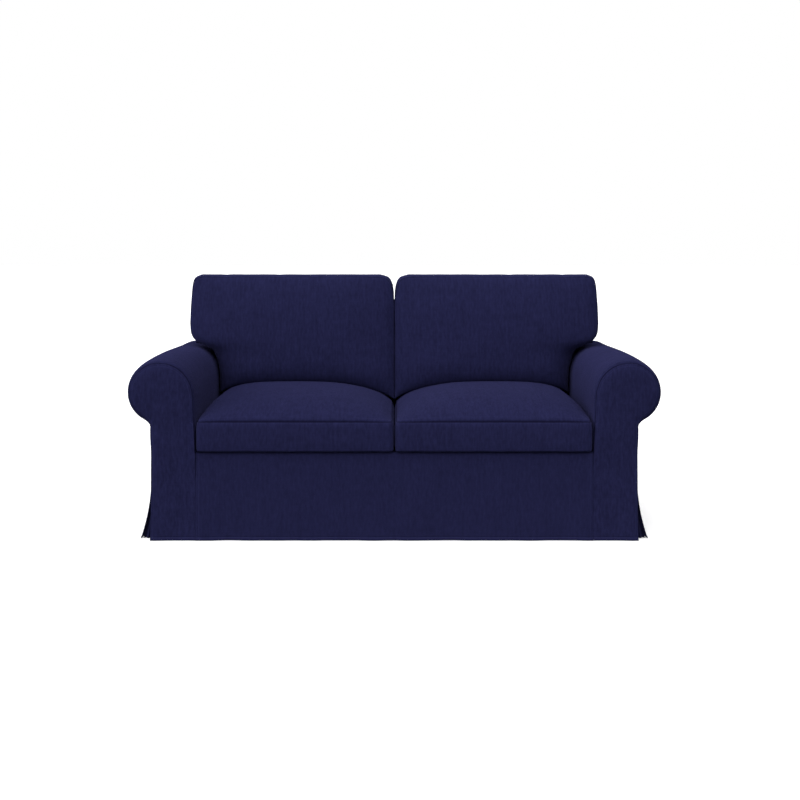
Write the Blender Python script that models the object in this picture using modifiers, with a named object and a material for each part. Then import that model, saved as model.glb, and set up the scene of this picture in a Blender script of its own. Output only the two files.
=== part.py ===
"""Two-seat sofa slipcover with rolled arms, a skirt to the floor and four loose cushions.

Metres, +Z up. The front faces -Y, and the origin is on the floor under the middle of the cover.
The cover itself is a hollow of separately cut sheets that hang and curve as they do on the sofa,
with the sofa's own space left open inside. The seat and back cushions are filled, so each of them
is one solid, with its crown and its drawn-in sides.
"""

import math

import bmesh
import bpy
from mathutils import Matrix, Vector

# Driving dimensions of the whole cover
WIDTH = 1.80
DEPTH = 0.88
CLOTH = 0.002  # thickness of every sheet
SEAM = 0.0003  # what parts one panel from the next along a seam
HALF_WIDTH = WIDTH / 2
HEM_SWING = 0.005  # how far the hem swings out past the flat of the front and back panels
BACK_Y = DEPTH / 2 - HEM_SWING
CUSHION_PROUD = 0.010  # how far the seat cushions stand out past the arm fronts
FRONT_Y = -DEPTH / 2 + CUSHION_PROUD

# Arms: a roll on top of an upright box
ROLL_R = 0.1060
ROLL_X = HALF_WIDTH - ROLL_R
ROLL_Z = 0.501
ARM_TOP_Z = ROLL_Z + ROLL_R
ARM_INNER_X = 0.6675
ARM_SPRING_Z = 0.470  # above this the inner panel curves outwards
SKIRT_X = 0.8175
NECK_Z = 0.375  # seam under the roll
ROLL_TURN = -58.0  # degrees below level at which the roll runs into its neck
SEAM_DIP = 0.0075  # how far the cloth draws in at the front and back seams of an arm
DIP_LENGTH = 0.020
ARM_ARCH = 0.006  # the roll is fuller halfway along than at its ends
TUCK = 2 * SEAM  # an end panel's top edge lies this far inside the roll
INNER_ARC_STEPS = 8
OUTER_ARC_STEPS = 12
NECK_BEND_X = SKIRT_X + 0.001  # the neck's curve is drawn towards this point
NECK_BEND_DROP = 0.0186
NECK_X = SKIRT_X + 0.0005
PANEL_CROWN = 0.003  # fullness of the scroll-topped front panels
BESIDE_SEAM = (0.008, 0.025, 0.060)  # extra rows where the cloth draws in to an end seam

# Seat platform and back
DECK_Z = 0.297
DECK_ROLL = 0.012
DECK_SEAM_BACK = 0.017  # how far behind the front the platform cloth is sewn on
INNER_BACK_Y = 0.305
BACK_HALF = 0.775
BACK_TOP_Z = 0.780
BACK_CORNER_R = 0.040
APRON_HALF = 0.6712
PANEL_INNER_X = APRON_HALF + SEAM

# Kick pleats at the two front corners
SLIT_Z = 0.185
FLARE_OUT = 0.039
FLARE_BACK = 0.040
FLARE_REACH = 0.16
PLEAT_TOP_Z = 0.205
FLARE_CURVE = 1.3  # the flare opens faster towards the hem
FLARE_BACK_CURVE = 1.1
FLARE_BACK_REACH = 0.06
SIDE_WAVE = 0.003  # loose hang of the skirt's sides
SIDE_WAVE_TURN = 17.0  # radians per metre
SIDE_WAVE_FADE = 0.2  # the waves die out this far from the side's two ends

# Loose hang of the skirt: each row is where the hem swings forward (x from the middle, metres).
HEM_WAVE = (
    # x, forward
    (0.000, 0.0030),
    (0.055, 0.0046),
    (0.145, 0.0008),
    (0.265, 0.0022),
    (0.425, 0.0044),
    (0.560, 0.0010),
    (0.636, 0.0048),
    (0.718, 0.0008),
    (0.810, 0.0050),
    (0.900, 0.0030),
)
HANG_Z = 0.290  # the waves die out at this height
HANG_CURVE = 1.5
SKIRT_ROWS = (0.0, 0.035, 0.08, 0.13, 0.19, 0.25)

# Seat cushions
SEAT_INNER_X = 0.0010
SEAT_OUTER_X = 0.6645
SEAT_REAR_Y = INNER_BACK_Y - SEAM
SEAT_BOTTOM_Z = DECK_Z + SEAM
SEAT_LOWER_SEAM_Z = 0.3040
SEAT_UPPER_SEAM_Z = 0.4020
SEAT_CROWN = 0.083
SEAT_BULGE = 0.004
SEAT_DRAW_X = 0.012  # the sides pull in between the corners by this share
SEAT_DRAW_Y = 0.010
SEAT_DRAW_POWER = 10
SEAT_RIM_POWER = 30

# Back cushions: height, edge that faces the middle, edge that faces the arm
BACK_CUSHION_OUTLINE = (
    # z, inner x, outer x
    (0.4400, 0.0006, 0.6470),
    (0.4900, 0.0006, 0.6475),
    (0.5300, 0.0006, 0.6520),
    (0.5620, 0.0006, 0.6610),
    (0.5900, 0.0006, 0.6730),
    (0.6060, 0.0006, 0.6880),
    (0.6150, 0.0006, 0.7060),
    (0.6220, 0.0006, 0.7300),
    (0.6310, 0.0006, 0.7480),
    (0.6430, 0.0006, 0.7620),
    (0.6620, 0.0006, 0.7710),
    (0.7000, 0.0006, 0.7745),
    (0.7600, 0.0006, 0.7720),
    (0.8200, 0.0007, 0.7680),
    (0.8440, 0.0060, 0.7650),
    (0.8620, 0.0165, 0.7600),
    (0.8740, 0.0320, 0.7510),
    (0.8805, 0.0640, 0.7330),
)
BACK_CUSHION_FRONT_Y = 0.100
BACK_CUSHION_LEAN = 0.035
BACK_CUSHION_REAR_Y = 0.280
BACK_CUSHION_CROWN = 0.055
BACK_CUSHION_REAR_CROWN = 0.0245
BACK_CUSHION_BULGE = 0.003
BACK_CUSHION_CLEAR = 0.003  # above the seat cushion it stands on
SEAT_SPAN = 0.95  # it bridges the seat cushion's falling edges
BACK_CUSHION_DOME = (2.6, 0.6)  # power and flatness of its crown
SETTLE_SHARE = 0.75  # this share of its height follows the seat cushion's crown
SETTLE_CURVE = 1.5
ON_FACE = 0.999  # a station past this lies on an outer face

NAVY = (0.016, 0.017, 0.052, 1.0)
CLOTH_ROUGHNESS = 0.9
SHARP_ANGLE = math.radians(40)


def cloth_material(name):
    """Each piece's own dark blue woven cloth."""
    material = bpy.data.materials.new(name + "_cloth")
    material.use_nodes = True
    shader = material.node_tree.nodes["Principled BSDF"]
    shader.inputs["Base Color"].default_value = NAVY
    shader.inputs["Roughness"].default_value = CLOTH_ROUGHNESS
    shader.inputs["Metallic"].default_value = 0.0
    material.diffuse_color = NAVY
    return material


def add_object(name, mesh, collection):
    piece = bpy.data.objects.new(name, mesh)
    collection.objects.link(piece)
    mesh.materials.append(cloth_material(name))
    mesh.shade_smooth()
    mesh.set_sharp_from_angle(angle=SHARP_ANGLE)
    return piece


def add_sheet(name, across, along, surface, outside, collection, offset=-1.0):
    """A sheet over a grid: surface(u, v) gives its outer face, and outside its facing in the middle."""
    bm = bmesh.new()
    bmesh.ops.create_grid(bm, x_segments=len(across) - 1, y_segments=len(along) - 1, size=1.0)
    for vertex in bm.verts:
        column = round((vertex.co.x + 1) / 2 * (len(across) - 1))
        row = round((vertex.co.y + 1) / 2 * (len(along) - 1))
        vertex.co = surface(across[column], along[row])
    bm.normal_update()
    bm.faces.ensure_lookup_table()
    middle = bm.faces[len(bm.faces) // 2]
    if middle.normal.dot(Vector(outside)) < 0:
        bmesh.ops.reverse_faces(bm, faces=bm.faces)
    mesh = bpy.data.meshes.new(name)
    bm.to_mesh(mesh)
    bm.free()
    piece = add_object(name, mesh, collection)
    thickness = piece.modifiers.new("cloth_thickness", "SOLIDIFY")
    thickness.thickness = CLOTH
    thickness.offset = offset
    thickness.use_even_offset = True
    return piece


def add_filled(name, across, along, through, shape, collection):
    """A filled cushion: a cube cut along three lists of stations from -1 to 1, then shaped."""
    bm = bmesh.new()
    bmesh.ops.create_cube(bm, size=2.0)
    for axis, stations in enumerate((across, along, through)):
        direction = Vector((0, 0, 0))
        direction[axis] = 1.0
        for station in stations[1:-1]:
            everything = bm.verts[:] + bm.edges[:] + bm.faces[:]
            bmesh.ops.bisect_plane(bm, geom=everything, plane_co=direction * station, plane_no=direction)
    for vertex in bm.verts:
        vertex.co = shape(*vertex.co)
    bmesh.ops.recalc_face_normals(bm, faces=bm.faces)
    if bm.calc_volume(signed=True) < 0:
        bmesh.ops.reverse_faces(bm, faces=bm.faces)
    mesh = bpy.data.meshes.new(name)
    bm.to_mesh(mesh)
    bm.free()
    return add_object(name, mesh, collection)


def add_mirrored(piece, name, collection):
    """The other side's piece: the same cut, turned over."""
    mesh = piece.data.copy()
    mesh.name = name
    mesh.materials.clear()
    mesh.transform(Matrix.Scale(-1.0, 4, (1.0, 0.0, 0.0)))
    mesh.flip_normals()
    twin = add_object(name, mesh, collection)
    for source in piece.modifiers:
        thickness = twin.modifiers.new(source.name, "SOLIDIFY")
        thickness.thickness = source.thickness
        thickness.offset = source.offset
        thickness.use_even_offset = source.use_even_offset
    return twin


def spread(first, last, count):
    """Evenly spaced stations, both ends included."""
    return [first + (last - first) * step / (count - 1) for step in range(count)]


def read_table(table, key, column):
    """A column of a table at any key, straight between its rows and level past its ends."""
    if key <= table[0][0]:
        return table[0][column]
    for lower, upper in zip(table, table[1:]):
        if key <= upper[0]:
            share = (key - lower[0]) / (upper[0] - lower[0])
            return lower[column] + (upper[column] - lower[column]) * share
    return table[-1][column]


def hem_swing(x, z):
    """How far the hanging skirt swings out at x and z."""
    x = abs(x)
    for lower, upper in zip(HEM_WAVE, HEM_WAVE[1:]):
        if x <= upper[0]:
            share = (1 - math.cos(math.pi * (x - lower[0]) / (upper[0] - lower[0]))) / 2
            forward = lower[1] + (upper[1] - lower[1]) * share
            break
    else:
        forward = HEM_WAVE[-1][1]
    return forward * max(0.0, 1 - z / HANG_Z) ** HANG_CURVE


# ---------------------------------------------------------------- arms


def inner_arc(dip):
    """Arm profile (x, z) from the platform up the inner panel and over to the crown."""
    points = [(ARM_INNER_X + dip, DECK_Z - CLOTH), (ARM_INNER_X + dip, ARM_SPRING_Z)]
    width = ROLL_X - ARM_INNER_X - dip
    height = ARM_TOP_Z - ARM_SPRING_Z - dip
    for step in range(1, INNER_ARC_STEPS + 1):
        angle = math.pi - math.pi / 2 * step / INNER_ARC_STEPS
        points.append((ROLL_X + width * math.cos(angle), ARM_SPRING_Z + height * math.sin(angle)))
    return points


def outer_arc(dip):
    """Arm profile (x, z) from the crown round the roll and down its neck."""
    points = []
    radius = ROLL_R - dip
    for step in range(1, OUTER_ARC_STEPS + 1):
        angle = math.radians(90 + (ROLL_TURN - 90) * step / OUTER_ARC_STEPS)
        points.append((ROLL_X + radius * math.cos(angle), ROLL_Z + radius * math.sin(angle)))
    start = Vector(points[-1])
    bend = Vector((NECK_BEND_X, start.y - NECK_BEND_DROP))
    end = Vector((NECK_X, NECK_Z))
    for t in (1 / 3, 2 / 3, 1.0):
        point = start * (1 - t) ** 2 + bend * 2 * t * (1 - t) + end * t**2
        points.append((point.x, point.y))
    return points


def arm_profile(dip):
    return inner_arc(dip) + outer_arc(dip)


def arm_dip(y):
    """The cloth draws in towards the seams at both ends of an arm."""
    from_front = y - FRONT_Y
    from_back = BACK_Y - y
    return SEAM_DIP * (math.exp(-from_front / DIP_LENGTH) + math.exp(-from_back / DIP_LENGTH))


def arm_arch(y):
    """How much higher the roll stands along its open length, in front of the back."""
    share = (y - FRONT_Y) / (INNER_BACK_Y - FRONT_Y)
    return ARM_ARCH * math.sin(math.pi * share) if share < 1 else 0.0


def x_inner(z, dip):
    """Where the arm's inner side lies at a height."""
    return read_table([(pz, px) for px, pz in inner_arc(dip)], z, 1)


def x_outer(z, dip):
    """Where the arm's outer side lies at a height."""
    return read_table([(pz, px) for px, pz in reversed(outer_arc(dip))], z, 1)


def end_rows(dip):
    """Heights of an end panel's rows from the neck up, each on a point of the roll."""
    return [z for x, z in reversed(outer_arc(dip))] + [ARM_TOP_Z - dip - TUCK]


def arm_roll(side_name, collection):
    """One length of cloth up the inside of an arm, over its roll and back under to the neck."""
    profile_steps = list(range(len(arm_profile(0.0))))
    first, last = FRONT_Y + CLOTH + SEAM, BACK_Y - CLOTH - SEAM
    stations = [first] + [first + away for away in BESIDE_SEAM]
    stations += [first + 0.17, -0.06, 0.14, 0.24, INNER_BACK_Y - CLOTH]
    stations += [last - away for away in reversed(BESIDE_SEAM)] + [last]

    def surface(step, y):
        x, z = arm_profile(arm_dip(y))[step]
        height_share = max(0.0, (z - ARM_SPRING_Z) / (ARM_TOP_Z - ARM_SPRING_Z))
        return Vector((x, y, z + arm_arch(y) * height_share))

    return add_sheet("arm_roll_" + side_name, profile_steps, stations, surface, (0, 0, 1), collection)


def arm_front(side_name, collection):
    """The scroll-topped panel that closes an arm at the front and hangs on to the floor."""
    dip = SEAM_DIP
    heights = list(SKIRT_ROWS) + [DECK_Z - CLOTH, DECK_Z + DECK_ROLL] + end_rows(dip)
    shares = [0.0, 0.06, 0.3, 0.5, 0.7, 0.94, 1.0]

    def surface(share, z):
        inner = PANEL_INNER_X if z < DECK_Z else x_inner(z, dip)
        x = inner + (x_outer(z, dip) - inner) * share
        crown = PANEL_CROWN * (1 - abs(2 * share - 1) ** 4) * (1 - max(0.0, z / ARM_TOP_Z) ** 12)
        return Vector((x, FRONT_Y - crown - hem_swing(x, z), z))

    return add_sheet("arm_front_" + side_name, shares, heights, surface, (0, -1, 0), collection)


def slit_share(z):
    """How far down the open kick pleat a height is, from 0 at its top to 1 at the hem."""
    return max(0.0, (SLIT_Z - z) / SLIT_Z)


def side_skirt(side_name, collection):
    """The outer side of an arm, from the neck to the hem, kicking out at its front corner."""
    first, last = FRONT_Y + CLOTH + SEAM, BACK_Y - CLOTH - SEAM
    stations = [first, first + 0.012, -0.395, -0.355, -0.30, -0.22, -0.12, -0.01, 0.10, 0.21, 0.32, last]
    heights = [0.0, 0.025, 0.055, 0.085, 0.12, 0.15, SLIT_Z, 0.25, 0.31, NECK_Z - 2 * SEAM]

    def surface(y, z):
        from_front = y - first
        swing = FLARE_OUT * slit_share(z) ** FLARE_CURVE * math.exp(-((from_front / FLARE_REACH) ** 2))
        wave = SIDE_WAVE * (1 + math.cos(y * SIDE_WAVE_TURN)) * max(0.0, 1 - z / HANG_Z) ** HANG_CURVE
        wave *= min(1.0, from_front / SIDE_WAVE_FADE) * min(1.0, (last - y) / SIDE_WAVE_FADE)
        back = FLARE_BACK * slit_share(z) ** FLARE_BACK_CURVE * math.exp(-from_front / FLARE_BACK_REACH)
        return Vector((SKIRT_X + swing + wave, y + back, z))

    return add_sheet("side_skirt_" + side_name, stations, heights, surface, (1, 0, 0), collection)


def pleat_insert(side_name, collection):
    """The folded strip set behind a front corner's slit."""
    folds = (
        # top x, top y, hem x, hem y
        (0.7750, -0.4267, 0.7750, -0.4250),
        (0.8030, -0.4267, 0.8090, -0.4235),
        (0.8075, -0.4235, 0.8135, -0.4090),
        (0.8105, -0.4195, 0.8245, -0.4050),
        (0.8130, -0.4140, 0.8295, -0.3915),
        (0.8141, -0.4060, 0.8410, -0.3830),
        (0.8142, -0.3800, 0.8415, -0.3500),
    )
    heights = [0.001, 0.025, 0.055, 0.085, 0.12, 0.15, SLIT_Z, PLEAT_TOP_Z]

    def surface(fold, z):
        top_x, top_y, hem_x, hem_y = folds[fold]
        drop = slit_share(z) ** FLARE_CURVE
        return Vector((top_x + (hem_x - top_x) * drop, top_y + (hem_y - top_y) * drop, z))

    columns = list(range(len(folds)))
    name = "pleat_insert_" + side_name
    return add_sheet(name, columns, heights, surface, (0.5, -0.5, 0), collection, offset=0.0)


# ---------------------------------------------------------------- front, seat platform and back


def front_skirt(collection):
    """The long front panel between the arms, rolled over the platform's edge at its top."""
    edge_z = DECK_Z - DECK_ROLL
    path = [(0.0, z) for z in SKIRT_ROWS]
    for angle in (0, 30, 60, 90):
        turn = math.radians(angle)
        path.append((DECK_ROLL * (1 - math.cos(turn)), edge_z + DECK_ROLL * math.sin(turn)))
    path.append((DECK_SEAM_BACK, DECK_Z))

    def surface(share, step):
        back, z = path[step]
        half = APRON_HALF if back < DECK_ROLL / 3 else ARM_INNER_X - SEAM
        return Vector((half * share, FRONT_Y + back - hem_swing(half * share, z), z))

    return add_sheet("front_skirt", spread(-1.0, 1.0, 25), range(len(path)), surface, (0, -1, 0), collection)


def seat_deck(collection):
    """The platform cloth under the seat cushions, drawn tight between the arms."""
    half = ARM_INNER_X - SEAM
    first = FRONT_Y + DECK_SEAM_BACK + SEAM
    last = INNER_BACK_Y + CLOTH
    rows = spread(first, last, 3)
    return add_sheet(
        "seat_deck", spread(-half, half, 3), rows, lambda x, y: Vector((x, y, DECK_Z)), (0, 0, 1), collection
    )


def back_half_width(z):
    """Half the width of the back above the arms, with its rounded top corners."""
    over = z - (BACK_TOP_Z - BACK_CORNER_R)
    if over <= 0:
        return BACK_HALF
    return BACK_HALF - BACK_CORNER_R + math.sqrt(max(0.0, BACK_CORNER_R**2 - over**2))


def corner_rows():
    """Heights of the rows that round off the top corners of the back."""
    middle = BACK_TOP_Z - BACK_CORNER_R
    return [middle + BACK_CORNER_R * math.sin(math.radians(angle)) for angle in (0, 22.5, 45, 67.5, 88)]


def inner_back(collection):
    """The front of the back, between the arms and on up behind the back cushions."""
    on_arm = [z for x, z in inner_arc(0.0)[1:-2]]
    heights = [DECK_Z + SEAM] + on_arm + [ARM_TOP_Z + 0.002] + corner_rows()

    def surface(share, z):
        half = back_half_width(z)
        if z < ARM_TOP_Z:
            half = min(half, x_inner(z, 0.0) - 3 * SEAM)
        return Vector((half * share, INNER_BACK_Y, z))

    return add_sheet("inner_back", (-1.0, 0.0, 1.0), heights, surface, (0, -1, 0), collection)


def back_boxing(collection):
    """The strip up one side of the back, over its top and down the other, down to the arm rolls."""
    foot_z = ARM_TOP_Z - 0.0007
    right = [(BACK_HALF, foot_z)]
    middle_x, middle_z = BACK_HALF - BACK_CORNER_R, BACK_TOP_Z - BACK_CORNER_R
    for angle in (0, 22.5, 45, 67.5, 90):
        turn = math.radians(angle)
        point = (middle_x + BACK_CORNER_R * math.cos(turn), middle_z + BACK_CORNER_R * math.sin(turn))
        right.append(point)
    path = right + [(-x, z) for x, z in reversed(right)]
    stations = spread(INNER_BACK_Y + CLOTH + SEAM, BACK_Y - CLOTH - SEAM, 3)

    def surface(step, y):
        x, z = path[step]
        return Vector((x, y, z))

    return add_sheet("back_boxing", range(len(path)), stations, surface, (0, 0, 1), collection)


def outer_back(collection):
    """The whole back of the cover, from the hem past the arm scrolls to the top."""
    heights = [0.0, 0.05, 0.12, 0.20, HANG_Z] + end_rows(SEAM_DIP) + [ARM_TOP_Z + 0.002] + corner_rows()

    def surface(share, z):
        half = back_half_width(z) if z > ARM_TOP_Z else x_outer(z, SEAM_DIP)
        x = half * share
        return Vector((x, BACK_Y + hem_swing(x, z), z))

    return add_sheet("outer_back", spread(-1.0, 1.0, 17), heights, surface, (0, 1, 0), collection)


# ---------------------------------------------------------------- cushions


def dome(share, power, flatness):
    return max(0.0, 1 - abs(share) ** power) ** flatness


def seat_shares(x, y):
    """A place on a seat cushion as shares of its half width and half depth."""
    across = (x - (SEAT_INNER_X + SEAT_OUTER_X) / 2) / ((SEAT_OUTER_X - SEAT_INNER_X) / 2)
    middle_y = (FRONT_Y + SEAT_REAR_Y) / 2
    along = (y - middle_y) / ((SEAT_REAR_Y - FRONT_Y) / 2)
    return max(-1.0, min(1.0, across)), max(-1.0, min(1.0, along))


def seat_top(across, along):
    """Height of a seat cushion's crown: full against the arm and at the rear, softer elsewhere."""
    side = dome(across, 3.2, 0.5) if across > 0 else dome(across, 2.3, 0.6)
    depth = dome(along, 2.5, 0.5) if along < 0 else dome(along, 5.0, 0.5)
    return SEAT_UPPER_SEAM_Z + SEAT_CROWN * side * depth


def seat_cushion(side_name, collection):
    across = [-1, -0.98, -0.92, -0.80, -0.62, -0.38, -0.10, 0.20, 0.48, 0.70, 0.86, 0.95, 0.99, 1]
    along = [-1, -0.98, -0.92, -0.80, -0.62, -0.36, -0.05, 0.30, 0.60, 0.82, 0.95, 1]

    def shape(a, b, c):
        side_face = max(abs(a), abs(b)) > ON_FACE
        bulge = SEAT_BULGE * (1 - c * c) if side_face else 0.0
        draw_x = 1 - SEAT_DRAW_X * abs(b) ** SEAT_DRAW_POWER
        draw_y = 1 - SEAT_DRAW_Y * abs(a) ** SEAT_DRAW_POWER
        half_x = (SEAT_OUTER_X - SEAT_INNER_X) / 2 - SEAT_BULGE
        half_y = (SEAT_REAR_Y - FRONT_Y) / 2 - SEAT_BULGE
        x = (SEAT_INNER_X + SEAT_OUTER_X) / 2 + a * half_x * draw_x
        y = (SEAT_REAR_Y + FRONT_Y) / 2 + b * half_y * draw_y
        if side_face:
            x += bulge * a * (abs(a) > ON_FACE)
            y += bulge * b * (abs(b) > ON_FACE)
        if b < -ON_FACE:
            y -= CUSHION_PROUD
        if c > ON_FACE:
            z = seat_top(a, b)
        elif c < -ON_FACE:
            rim = max(abs(a), abs(b)) ** SEAT_RIM_POWER
            z = SEAT_BOTTOM_Z + (SEAT_LOWER_SEAM_Z - SEAT_BOTTOM_Z) * rim
        else:
            z = SEAT_LOWER_SEAM_Z + (SEAT_UPPER_SEAM_Z - SEAT_LOWER_SEAM_Z) * (c + 1) / 2
        return Vector((x, y, z))

    return add_filled("seat_cushion_" + side_name, across, along, [-1, 0, 1], shape, collection)


def back_cushion(side_name, collection):
    across = [-1, -0.97, -0.88, -0.72, -0.50, -0.25, 0.02, 0.30, 0.54, 0.74, 0.88, 0.96, 1]
    bottom = BACK_CUSHION_OUTLINE[0][0]
    top = BACK_CUSHION_OUTLINE[-1][0]
    heights = [row[0] for row in BACK_CUSHION_OUTLINE]
    upright = [2 * (z - bottom) / (top - bottom) - 1 for z in heights]

    def shape(a, b, c):
        level = bottom + (top - bottom) * (b + 1) / 2
        drawn_in = BACK_CUSHION_BULGE * c * c
        inner = read_table(BACK_CUSHION_OUTLINE, level, 1) + drawn_in
        outer = read_table(BACK_CUSHION_OUTLINE, level, 2) - drawn_in
        x = inner + (outer - inner) * (a + 1) / 2
        crown = dome(a, *BACK_CUSHION_DOME) * dome(b, *BACK_CUSHION_DOME)
        front = BACK_CUSHION_FRONT_Y + BACK_CUSHION_LEAN * (b + 1) / 2
        y = front + (BACK_CUSHION_REAR_Y - front) * (c + 1) / 2
        if c < -ON_FACE:
            y -= BACK_CUSHION_CROWN * crown
        elif c > ON_FACE:
            y += BACK_CUSHION_REAR_CROWN * crown
        settle = max(0.0, 1 - (b + 1) / SETTLE_SHARE) ** SETTLE_CURVE
        under_x, under_y = seat_shares(x, y)
        seat = seat_top(under_x * SEAT_SPAN, under_y * SEAT_SPAN) + BACK_CUSHION_CLEAR
        z = level + (seat - bottom) * settle
        if b > ON_FACE:
            z += BACK_CUSHION_BULGE * (1 - c * c)
        return Vector((x, y, z))

    return add_filled("back_cushion_" + side_name, across, upright, [-1, 0, 1], shape, collection)


def main():
    for old in list(bpy.data.objects):
        bpy.data.objects.remove(old, do_unlink=True)
    cover = bpy.data.collections.new("sofa_slipcover")
    bpy.context.scene.collection.children.link(cover)
    for make in (arm_roll, arm_front, side_skirt, pleat_insert, seat_cushion, back_cushion):
        right = make("right", cover)
        add_mirrored(right, right.name.replace("right", "left"), cover)
    for make in (front_skirt, seat_deck, inner_back, back_boxing, outer_back):
        make(cover)


main()
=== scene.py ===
# %% [markdown]
# # A fitted cover for a two-seat sofa
# This lesson dresses the measured solids of a sofa's slipcover for the camera. The cover is sewn
# from flat panels: a long front skirt, two scroll-topped arm fronts, the arm rolls, side skirts, a
# folded insert behind each front corner, the platform and the back. Four loose cushions lie on it.
# Every piece is made again here with finer folds, seams and weave, in the place of its solid.

# %% Load the measured solids
import math

import bmesh
import bpy
import numpy as np
from mathutils import Matrix, Vector
from mathutils.bvhtree import BVHTree


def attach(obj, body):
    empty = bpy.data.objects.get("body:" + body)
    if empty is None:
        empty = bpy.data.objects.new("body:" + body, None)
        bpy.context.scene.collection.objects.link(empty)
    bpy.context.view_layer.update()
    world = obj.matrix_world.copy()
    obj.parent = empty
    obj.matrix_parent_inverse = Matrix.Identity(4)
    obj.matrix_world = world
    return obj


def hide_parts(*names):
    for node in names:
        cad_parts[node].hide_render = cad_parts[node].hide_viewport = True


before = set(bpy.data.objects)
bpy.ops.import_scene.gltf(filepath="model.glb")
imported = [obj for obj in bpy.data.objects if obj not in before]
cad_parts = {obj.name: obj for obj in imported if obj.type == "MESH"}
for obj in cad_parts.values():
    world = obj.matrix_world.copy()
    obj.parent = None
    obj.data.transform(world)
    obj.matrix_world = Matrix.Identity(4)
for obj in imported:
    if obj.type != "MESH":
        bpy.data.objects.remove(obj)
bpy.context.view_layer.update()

# %% [markdown]
# ## Camera
# The cover was photographed from the front with a level camera, so its upright edges stay parallel.
# Tilting the camera down would make them lean, so the lens is shifted instead, as on a studio view
# camera, until the floor line sits where it does in the picture.

# %% Place the camera
PICTURE_SIDE = 800  # pixels
PIXELS_PER_METRE = 297.6  # at the cover's front
LENS_CENTRE = (394.3, 251.0)  # the pixel that the lens looks at
FRONT_Y = -0.43
CAMERA_AWAY = 4.5
CAMERA_HEIGHT = 0.973

camera_data = bpy.data.cameras.new("studio_camera")
camera_data.lens = PIXELS_PER_METRE * CAMERA_AWAY / PICTURE_SIDE * camera_data.sensor_width
camera_data.shift_x = (PICTURE_SIDE / 2 - LENS_CENTRE[0]) / PICTURE_SIDE
camera_data.shift_y = (LENS_CENTRE[1] - PICTURE_SIDE / 2) / PICTURE_SIDE
camera = bpy.data.objects.new("studio_camera", camera_data)
camera.location = (0.0, FRONT_Y - CAMERA_AWAY, CAMERA_HEIGHT)
camera.rotation_euler = (math.radians(90), 0.0, 0.0)
bpy.context.scene.collection.objects.link(camera)
bpy.context.scene.camera = camera
shift = [round(v, 4) for v in (camera_data.shift_x, camera_data.shift_y)]
print("lens", round(camera_data.lens, 2), "mm, shift", shift)

# %% [markdown]
# ## Floor and light
# Dark cloth needs big soft lights, or it turns into one flat shape. Five wide lamps stand round the
# cover: one above and in front, which lights the tops, one at its left, which brightens every edge
# that turns to the left, two low ones in front, the left one stronger, and one behind, so that the
# back can be looked at too. The floor is pale and glows a little, as a lit studio floor does, which
# thins the shadows. Its light is kept off the cloth, as a photographer does with black cards, so
# that the tops stay lighter than the front.

# %% Lay the floor
FLOOR_SIDE = 160.0
FLOOR_Z = -0.0005  # just under the hems
WHITE = (1.0, 1.0, 1.0, 1.0)
FLOOR_FINISH = {
    "Base Color": (0.97, 0.97, 0.97, 1.0),
    "Roughness": 0.95,
    "Specular IOR Level": 0.1,
    "Emission Color": WHITE,
    "Emission Strength": 0.3,
}


def paint(name, finish):
    """A new material whose shader has these plain values."""
    material = bpy.data.materials.new(name)
    material.use_nodes = True
    shader = material.node_tree.nodes["Principled BSDF"]
    for socket, value in finish.items():
        shader.inputs[socket].default_value = value
    return material, shader


bpy.ops.object.select_all(action="DESELECT")
bpy.ops.mesh.primitive_plane_add(size=FLOOR_SIDE, location=(0.0, 0.0, FLOOR_Z))
floor = bpy.context.object
floor.name = "studio_floor"
floor.visible_diffuse = floor.visible_glossy = False
floor.data.materials.append(paint("pale_floor", FLOOR_FINISH)[0])
print("floor", FLOOR_SIDE, "m wide")

# %% Hang the lamps
LAMP_SOFTNESS = 70.0  # degrees across
LAMPS = (
    # name, from, strength
    ("lamp_left", (-1.0, 0.0, 0.15), 2.05),
    ("lamp_above", (0.0, -0.5, 0.87), 3.04),
    ("lamp_front_left", (-0.7, -0.7, 0.2), 2.10),
    ("lamp_front_right", (0.7, -0.7, 0.2), 0.83),
    ("lamp_behind", (0.0, 1.0, 0.0), 2.3),
)

for lamp_name, lamp_from, strength in LAMPS:
    lamp_data = bpy.data.lights.new(lamp_name, "SUN")
    lamp_data.energy = strength
    lamp_data.angle = math.radians(LAMP_SOFTNESS)
    lamp = bpy.data.objects.new(lamp_name, lamp_data)
    lamp.rotation_mode = "QUATERNION"
    lamp.rotation_quaternion = Vector(lamp_from).to_track_quat("Z", "Y")
    bpy.context.scene.collection.objects.link(lamp)
print("lamps:", len(LAMPS))

# %% Set the sky
SKY_LIGHT = 0.05


def wire(tree, kind, inputs=(), **settings):
    """A new shader node, with its settings, and its inputs linked or filled in."""
    node = tree.nodes.new("ShaderNode" + kind)
    for name, value in settings.items():
        setattr(node, name, value)
    for key, value in dict(inputs).items():
        if isinstance(value, bpy.types.NodeSocket):
            tree.links.new(value, node.inputs[key])
        else:
            node.inputs[key].default_value = value
    return node


sky = bpy.data.worlds.new("studio_sky")
bpy.context.scene.world = sky
sky.use_nodes = True
sky_light = sky.node_tree.nodes["Background"]
sky_light.inputs["Color"].default_value = WHITE
sky_light.inputs["Strength"].default_value = SKY_LIGHT
white_wall = wire(sky.node_tree, "Background", {"Color": WHITE})
seen = wire(sky.node_tree, "LightPath").outputs["Is Camera Ray"]
either = wire(
    sky.node_tree, "MixShader", {0: seen, 1: sky_light.outputs[0], 2: white_wall.outputs[0]}
)
sky.node_tree.links.new(either.outputs[0], sky.node_tree.nodes["World Output"].inputs["Surface"])
bpy.context.scene.view_settings.view_transform = "Standard"
print("sky light", SKY_LIGHT)

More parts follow.
